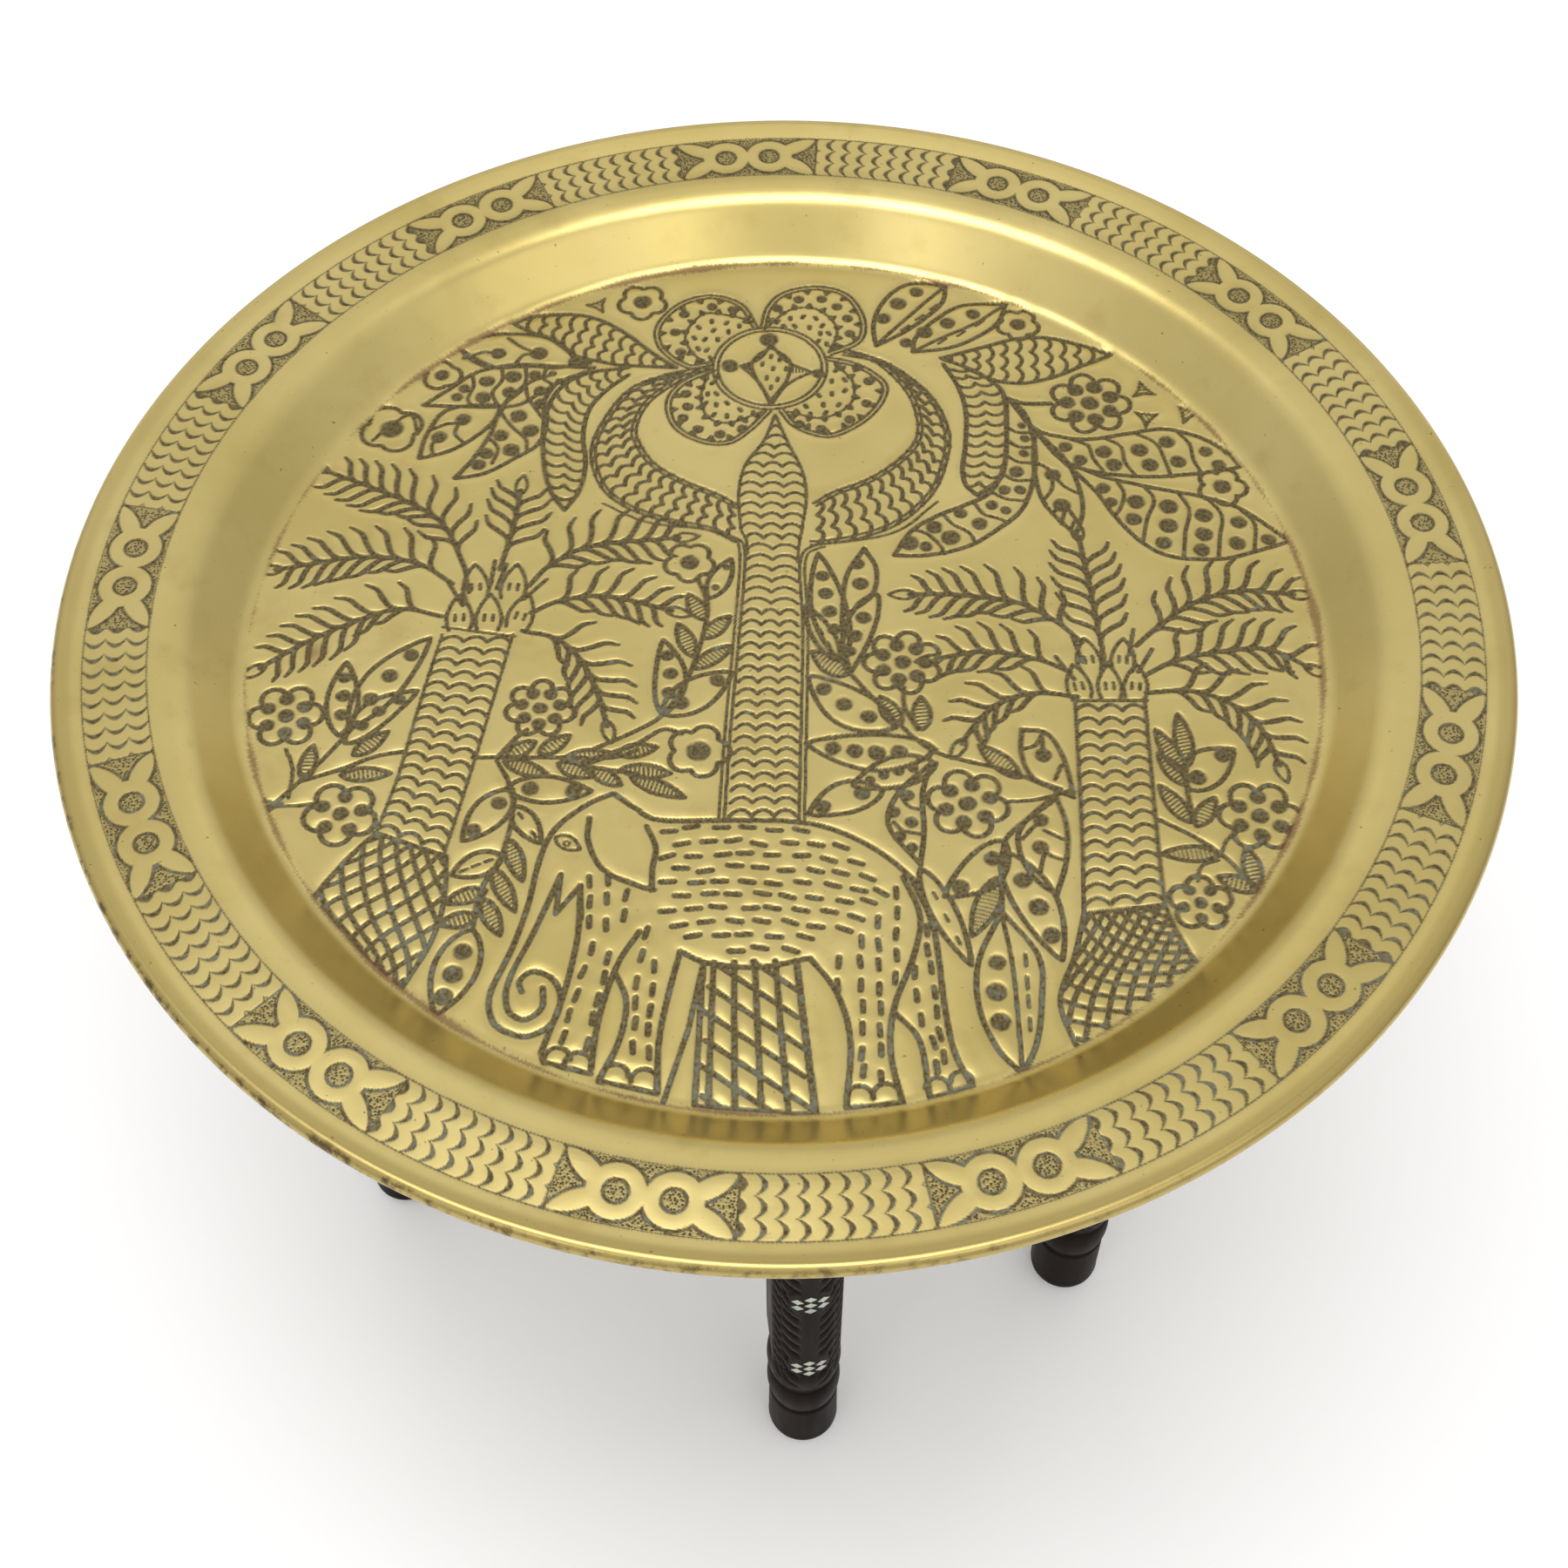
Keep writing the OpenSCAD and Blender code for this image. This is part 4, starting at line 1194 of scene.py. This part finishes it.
class Graph:
    """A short way to make and join nodes."""

    def __init__(self, tree):
        self.tree = tree
        self.shader = tree.nodes.get("Principled BSDF")

    def plug(self, socket, value):
        if isinstance(value, bpy.types.NodeSocket):
            self.tree.links.new(value, socket)
        else:
            socket.default_value = value

    def add(self, kind, values=None, **settings):
        node = self.tree.nodes.new("ShaderNode" + kind)
        for name, value in settings.items():
            setattr(node, name, value)
        for name, value in (values or {}).items():
            self.plug(node.inputs[name], value)
        return node

    def give(self, name, value):
        self.plug(self.shader.inputs[name], value)

    def share(self, name):
        return self.add("Attribute", attribute_name=name).outputs["Fac"]

    def place(self, scale=(1, 1, 1), turn=0.0):
        place = self.add("TexCoord").outputs["Object"]
        values = {"Vector": place, "Scale": scale, "Rotation": (0, 0, turn)}
        return self.add("Mapping", values).outputs[0]

    def noise(self, vector, scale, detail=4.0, roughness=0.55):
        values = {"Vector": vector, "Scale": scale, "Detail": detail, "Roughness": roughness}
        return self.add("TexNoise", values).outputs["Fac"]

    def plus(self, a, b):
        return self.add("Math", {0: a, 1: b}, operation="ADD").outputs[0]

    def times(self, a, b):
        return self.add("Math", {0: a, 1: b}, operation="MULTIPLY").outputs[0]

    def most(self, a, b):
        return self.add("Math", {0: a, 1: b}, operation="MAXIMUM").outputs[0]

    def span(self, value, low, high, to_low=0.0, to_high=1.0, shape="LINEAR"):
        values = {"Value": value, "From Min": low, "From Max": high,
                  "To Min": to_low, "To Max": to_high}
        return self.add("MapRange", values, interpolation_type=shape).outputs[0]

    def ease(self, value, low, high, to_low=0.0, to_high=1.0):
        return self.span(value, low, high, to_low, to_high, "SMOOTHSTEP")

    def mix(self, share, a, b):
        node = self.add("Mix", data_type="RGBA")
        sockets = node.inputs["Factor"], node.inputs[6], node.inputs[7]
        for socket, value in zip(sockets, (share, a, b)):
            self.plug(socket, value)
        return node.outputs[2]

    def bump(self, height, strength, distance):
        node = self.add("Bump", {"Height": height, "Strength": strength, "Distance": distance})
        self.give("Normal", node.outputs[0])


def brass():
    """Old polished brass: warm and uneven, brown in its grooves, with verdigris flecks."""
    made, g = material("old_brass")
    here = g.place()
    broad, fine = g.noise(here, 9.0), g.noise(here, 260.0, 3.0)
    clean = g.mix(g.span(broad, 0.35, 0.65), (0.620, 0.492, 0.175, 1), (0.700, 0.568, 0.228, 1))
    dull_share = g.span(g.noise(here, 45.0, 6.0), 0.56, 0.75, 0, 0.35)
    dull = g.mix(dull_share, clean, (0.47, 0.345, 0.11, 1))
    # the rolled rim and outer band darkened: a duller tone plus painted shade, heaviest at the front
    roll_dulled_and_shaded = g.mix(g.share("roll"), dull, (0.43, 0.325, 0.11, 1))
    under = g.mix(g.times(g.share("under"), 0.6), roll_dulled_and_shaded, (0.36, 0.25, 0.09, 1))

    stipple = g.add("TexVoronoi", {"Vector": here, "Scale": 900.0}).outputs["Distance"]
    ground = g.times(g.share("ground"), g.span(stipple, 0.60, 0.28, 0.50, 1.0))
    chasing = g.span(g.noise(here, 640.0, 2.0), 0.35, 0.62, 1.0, 0.84)
    dark = g.most(g.times(g.share("patina"), chasing), ground)
    grooved = g.mix(dark, under, (0.072, 0.054, 0.027, 1))
    green = g.mix(g.share("verdigris"), grooved, (0.21, 0.235, 0.190, 1))
    brown = g.mix(g.times(g.share("stain"), 0.75), green, (0.14, 0.065, 0.030, 1))

    freckles = g.span(g.noise(here, 800.0, 2.0), 0.70, 0.76, 0.0, 0.45)
    spots = g.most(g.span(g.noise(here, 330.0, 2.0), 0.73, 0.76), freckles)
    pits = g.plus(g.noise(here, 110.0, 8.0, 0.75), g.times(g.share("wear"), 0.12))
    worn = g.times(g.share("wear"), g.span(pits, 0.595, 0.70, 0, 0.9))
    marks = g.most(g.times(spots, 0.55), worn)
    g.give("Base Color", g.mix(marks, brown, (0.110, 0.068, 0.036, 1)))
    g.give("Specular IOR Level", 0.15)
    g.give("Metallic", g.span(g.most(dark, g.share("stain")), 0.0, 1.0, 1.0, 0.35))
    rough = g.plus(g.times(dark, 0.35), g.times(broad, 0.12))
    g.give("Roughness", g.span(rough, 0.0, 0.5, 0.25, 0.66))
    g.bump(g.plus(g.times(stipple, g.share("ground")), g.times(fine, 0.12)), 0.35, 0.0006)
    return made


def wood(name, grain_scale, turn=0.0, carving_shade_and_highlight=False):
    """Dark polished hardwood with fine lengthwise grain."""
    made, g = material(name)
    here = g.place(grain_scale, turn)
    streaks, pores = g.noise(here, 24.0, 6.0, 0.6), g.noise(here, 130.0, 3.0)
    base = g.mix(g.span(streaks, 0.3, 0.7), (0.0055, 0.0035, 0.0029, 1), (0.0155, 0.0092, 0.0072, 1))
    # on the carved legs: painted shade in the chips, and painted highlight on the shaft's edges and the
    # ridges between chips
    if carving_shade_and_highlight:
        # painted shade: the carved chips darkened
        base = g.mix(g.times(g.share("hollow"), 0.9), base, (0.0018, 0.0014, 0.0012, 1))
        # painted highlight: the shaft's edges and the ridges between chips lightened
        base = g.mix(g.times(g.share("edge"), 0.55), base, (0.064, 0.048, 0.040, 1))
    g.give("Base Color", base)
    g.give("Roughness", g.span(pores, 0.3, 0.7, 0.30, 0.46))
    g.give("Specular IOR Level", 0.025)
    g.bump(g.plus(streaks, g.times(pores, 0.5)), 0.25, 0.0004)
    return made


def pearl():
    """Mother-of-pearl: pale, cloudy and slightly green and pink."""
    made, g = material("mother_of_pearl")
    here = g.place((1, 1, 0.5))
    cloud = g.add("ValToRGB", {"Fac": g.noise(here, 160.0, 4.0)})
    ramp = cloud.color_ramp
    ramp.elements[0].position, ramp.elements[0].color = 0.30, (0.25, 0.31, 0.26, 1)
    ramp.elements[1].position, ramp.elements[1].color = 0.72, (0.44, 0.40, 0.32, 1)
    ramp.elements.new(0.5).color = (0.44, 0.47, 0.37, 1)
    g.give("Base Color", cloud.outputs["Color"])
    g.give("Roughness", g.span(g.noise(here, 400.0), 0.3, 0.7, 0.18, 0.34))
    g.give("Coat Weight", 0.6)
    g.give("Coat Roughness", 0.08)
    g.bump(g.noise(here, 700.0), 0.15, 0.0002)
    return made


def steel(name, shade):
    """Plain steel with rust in patches."""
    made, g = material(name)
    here = g.place()
    rust = g.span(g.noise(here, 190.0, 6.0), 0.45, 0.70)
    g.give("Base Color", g.mix(rust, (shade, shade * 0.97, shade * 0.92, 1), (0.13, 0.065, 0.03, 1)))
    g.give("Metallic", g.span(rust, 0, 1, 1.0, 0.4))
    g.give("Roughness", g.span(rust, 0, 1, 0.34, 0.75))
    g.bump(g.noise(here, 500.0), 0.25, 0.0003)
    return made


# ---- the legs, in millimetres in a leg's own frame: its axis on Z, its outer face towards +X ----

LEG_REACH = 202.5                   # from the stand's pivot to a leg's axis
LEG_W, FACE_R, LEG_BACK = 33.0, 18.5, 14.0
FOOT_R, FOOT_H, FOOT_ROUND, FOOT_TAPER = 17.5, 43.0, 8.0, 0.5
RING_R, RING_H, GROOVE_R, GROOVE_H = 18.0, 25.0, 16.25, 3.0
CAP_H = 15.0
LEG_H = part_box("front_leg_a")[1].z / MM
RINGS_Z = FOOT_H + GROOVE_H
SHAFT_Z = RINGS_Z + 2 * RING_H + 2 * GROOVE_H
SHAFT_TOP = LEG_H - CAP_H
CLUSTER_Z, CLUSTER_PITCH = 109.0, 77.0      # the lowest cluster of diamonds, and up to the next
SEAT = 0.12                         # how far the wood lies under the inlay and the pegs' ends
FRONT_EDGE, BACK_EDGE = 63.1, 130.3     # directions of the shaft's edges, in degrees
AROUND = 144                        # points round a leg
GOUGE_PITCH, GOUGE_DEPTH = 10.6, 2.5
GOUGES_BELOW = 26                   # how far below the shaft the gouges start
SHALLOW = 0.6                       # how deep they are there


def swelling(share):
    return GROOVE_R + (RING_R - GROOVE_R) * math.sin(math.pi * min(max(share, 0), 1)) ** 0.6


def turned_radius(z):
    """Radius of the turned foot, rings and cap at height z."""
    if z < FOOT_ROUND:
        return FOOT_R - FOOT_ROUND * (1 - math.sqrt(max(1 - (1 - z / FOOT_ROUND) ** 2, 0)))
    if z < FOOT_H:
        return FOOT_R - FOOT_TAPER * z / FOOT_H
    if z < RINGS_Z:
        flank = abs(z - FOOT_H - GROOVE_H / 2) / (GROOVE_H / 2) * 0.9
        return GROOVE_R + (FOOT_R - FOOT_TAPER - GROOVE_R) * flank
    if z < RINGS_Z + RING_H:
        return swelling((z - RINGS_Z) / RING_H)
    if z < SHAFT_Z:
        return swelling((z - RINGS_Z - RING_H - GROOVE_H) / RING_H)
    return swelling((z - SHAFT_TOP) / (CAP_H - GROOVE_H))


def shaft_radius(angle):
    """Radius of the flat-sided shaft in each direction."""
    side = (LEG_W / 2 - SEAT) / np.maximum(np.abs(np.sin(angle)), 1e-6)
    back = np.where(np.cos(angle) < 0, LEG_BACK / np.maximum(-np.cos(angle), 1e-6), 1e6)
    front = (np.cos(angle) > 0) & (FACE_R * np.abs(np.sin(angle)) < LEG_W / 2)
    return np.where(front, FACE_R - SEAT, np.minimum(side, back))


def leg_carving(angle, z):
    """Depth of the gouged chips down both sides of the face, which make room for each cluster."""
    depth = np.zeros_like(angle)
    above = z - SHAFT_Z + GOUGES_BELOW
    if above <= 0 or z >= SHAFT_TOP - 2:
        return depth
    turn = np.degrees(np.abs(angle))
    from_cluster = abs((z - CLUSTER_Z + CLUSTER_PITCH / 2) % CLUSTER_PITCH - CLUSTER_PITCH / 2)
    inner = 13 + 17 * min(max(0.0, 1 - from_cluster / 13) * 2.2, 1)
    fade = min(above / 8, 1) * (SHALLOW if z < SHAFT_Z else 1)
    for start, end, lift, lag in ((inner, 46, 12, 0.0), (43, 60, 10, 5.0)):
        share = (turn - start) / (end - start)
        on_face = (share > 0) & (share < 1)
        share = np.clip(share, 0, 1)
        step = ((z + lag - lift * share ** 1.6) / GOUGE_PITCH) % 1
        chip = step ** 1.5 * np.clip((1 - step) / 0.14, 0, 1)
        row = GOUGE_DEPTH * chip * np.sin(math.pi * share) ** 0.55 * fade
        depth = np.maximum(depth, np.where(on_face, row, 0))
    return depth


def leg_heights():
    """Heights of the leg's rings of points, closer together where it is carved."""
    heights = [FOOT_ROUND * (1 - math.cos(a)) for a in np.linspace(0, math.pi / 2, 8)]
    heights += list(np.arange(FOOT_ROUND + 2, FOOT_H, 2.5)) + [FOOT_H, FOOT_H + 1.5]
    heights += list(np.arange(RINGS_Z, SHAFT_Z - 0.5, 1.0)) + [SHAFT_Z - 0.3]
    heights += list(np.arange(SHAFT_Z, SHAFT_TOP, 1.15)) + [SHAFT_TOP]
    return heights + list(np.arange(SHAFT_TOP + 0.3, LEG_H, 1.0)) + [LEG_H]


def leg_mesh():
    """One carved leg, shared by all six."""
    around = np.linspace(-math.pi, math.pi, AROUND + 1)[:-1]
    for sharp in np.radians([FRONT_EDGE, BACK_EDGE]):
        for side in (-sharp, sharp):
            around[np.argmin(np.abs(around - side))] = side
    heights = leg_heights()
    points, hollow, edge = [], [], []
    for z in heights:
        on_shaft = SHAFT_Z <= z <= SHAFT_TOP
        plain = shaft_radius(around) if on_shaft else np.full(AROUND, turned_radius(z))
        depth = leg_carving(around, z)
        r = plain - depth
        points.append(np.stack([r * np.cos(around), r * np.sin(around), np.full(AROUND, z)], -1))
        hollow.append(depth)
        # painted highlight along the shaft's front and back edges
        edge_highlight = np.exp(-((np.abs(around) - math.radians(FRONT_EDGE)) / 0.07) ** 2)
        edge_highlight += np.exp(-((np.abs(around) - math.radians(BACK_EDGE)) / 0.05) ** 2)
        edge.append(edge_highlight * on_shaft)
    points = np.vstack(points + [[[0, 0, 0]], [[0, 0, LEG_H]]])
    rings = np.arange(AROUND * len(heights)).reshape(-1, AROUND)
    foot, top = rings.size, rings.size + 1
    faces = [face for a, b in zip(rings[1:], rings[:-1]) for face in ring_faces(a, b).tolist()]
    for tip, ring in ((foot, rings[0][::-1]), (top, rings[-1])):
        faces += np.stack([np.full(AROUND, tip), ring, np.roll(ring, -1)], -1).tolist()
    mesh = bpy.data.meshes.new("carved_leg")
    mesh.from_pydata((points * MM).tolist(), [], faces)

    hollow, edge = np.array(hollow), np.array(edge)
    nearby = (np.roll(hollow, 3, axis=0) + np.roll(hollow, -3, axis=0)) / 2
    # painted highlight on the ridges between chips, where the chips beside are deeper
    edge = np.clip(edge + (nearby - hollow) / 0.9, 0, 1)
    # hollow: painted shade, darkest where the chips are deepest
    hollow = np.clip(hollow / 1.1, 0, 1)
    add_shares(mesh, {"hollow": np.append(hollow, [0, 0]), "edge": np.append(edge, [0, 0])})
    mesh.shade_smooth()
    mesh.materials.append(wood("leg_wood", (1, 1, 0.12), carving_shade_and_highlight=True))
    return mesh


def turn_of(node):
    """The direction from the pivot to a leg."""
    low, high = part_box(node)
    middle = (low + high) / 2
    return math.atan2(middle.y - PIVOT.y, middle.x - PIVOT.x)


def build_legs():
    mesh = leg_mesh()
    for letter in "abc":
        for side in ("front", "rear"):
            node = f"{side}_leg_{letter}"
            leg = place_object(f"carved_{node}", mesh)
            turn = Matrix.Rotation(turn_of(node), 4, "Z")
            at_pivot = Matrix.Translation((PIVOT.x, PIVOT.y, 0)) @ turn
            leg.matrix_world = at_pivot @ Matrix.Translation((LEG_REACH * MM, 0, 0))
            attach(leg, f"frame_{letter}")
            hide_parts(node)


def dress(node, finish, ease=0.0):
    """Gives a CAD node its material, and eases its sharp edges by this many metres."""
    node = frame["nodes"][node]
    node.data.materials.clear()
    node.data.materials.append(finish)
    if ease:
        weld = node.modifiers.new("weld", "WELD")
        weld.merge_threshold = 1e-6
        bevel = node.modifiers.new("bevel", "BEVEL")
        bevel.width, bevel.segments, bevel.limit_method = ease, 2, "ANGLE"
        bevel.angle_limit = math.radians(35)
        bevel.harden_normals = True


def finish_cad_nodes():
    """Better materials and eased edges for the CAD nodes that stay."""
    peg_wood = wood("peg_wood", (1, 1, 1))
    shell = pearl()
    bolt_steel, washer_steel = steel("bolt_steel", 0.30), steel("washer_steel", 0.42)
    for letter in "abc":
        rail_wood = wood(f"rail_wood_{letter}", (0.12, 1, 1), -turn_of(f"front_leg_{letter}"))
        dress(f"upper_rail_{letter}", rail_wood, ease=0.0009)
        dress(f"lower_rail_{letter}", rail_wood, ease=0.0009)
        dress(f"pegs_{letter}", peg_wood)
        dress(f"front_inlay_{letter}", shell)
        dress(f"rear_inlay_{letter}", shell)
    for level in ("upper", "lower"):
        dress(f"{level}_bolt", bolt_steel)
        dress(f"{level}_nut", bolt_steel, ease=0.0004)
        dress(f"{level}_washers", washer_steel)
    dress("rim_wire", steel("rim_wire_steel", 0.30))


bpy.context.scene.view_settings.view_transform = "Standard"
add_camera()
add_surroundings()
build_tray()
build_legs()
finish_cad_nodes()
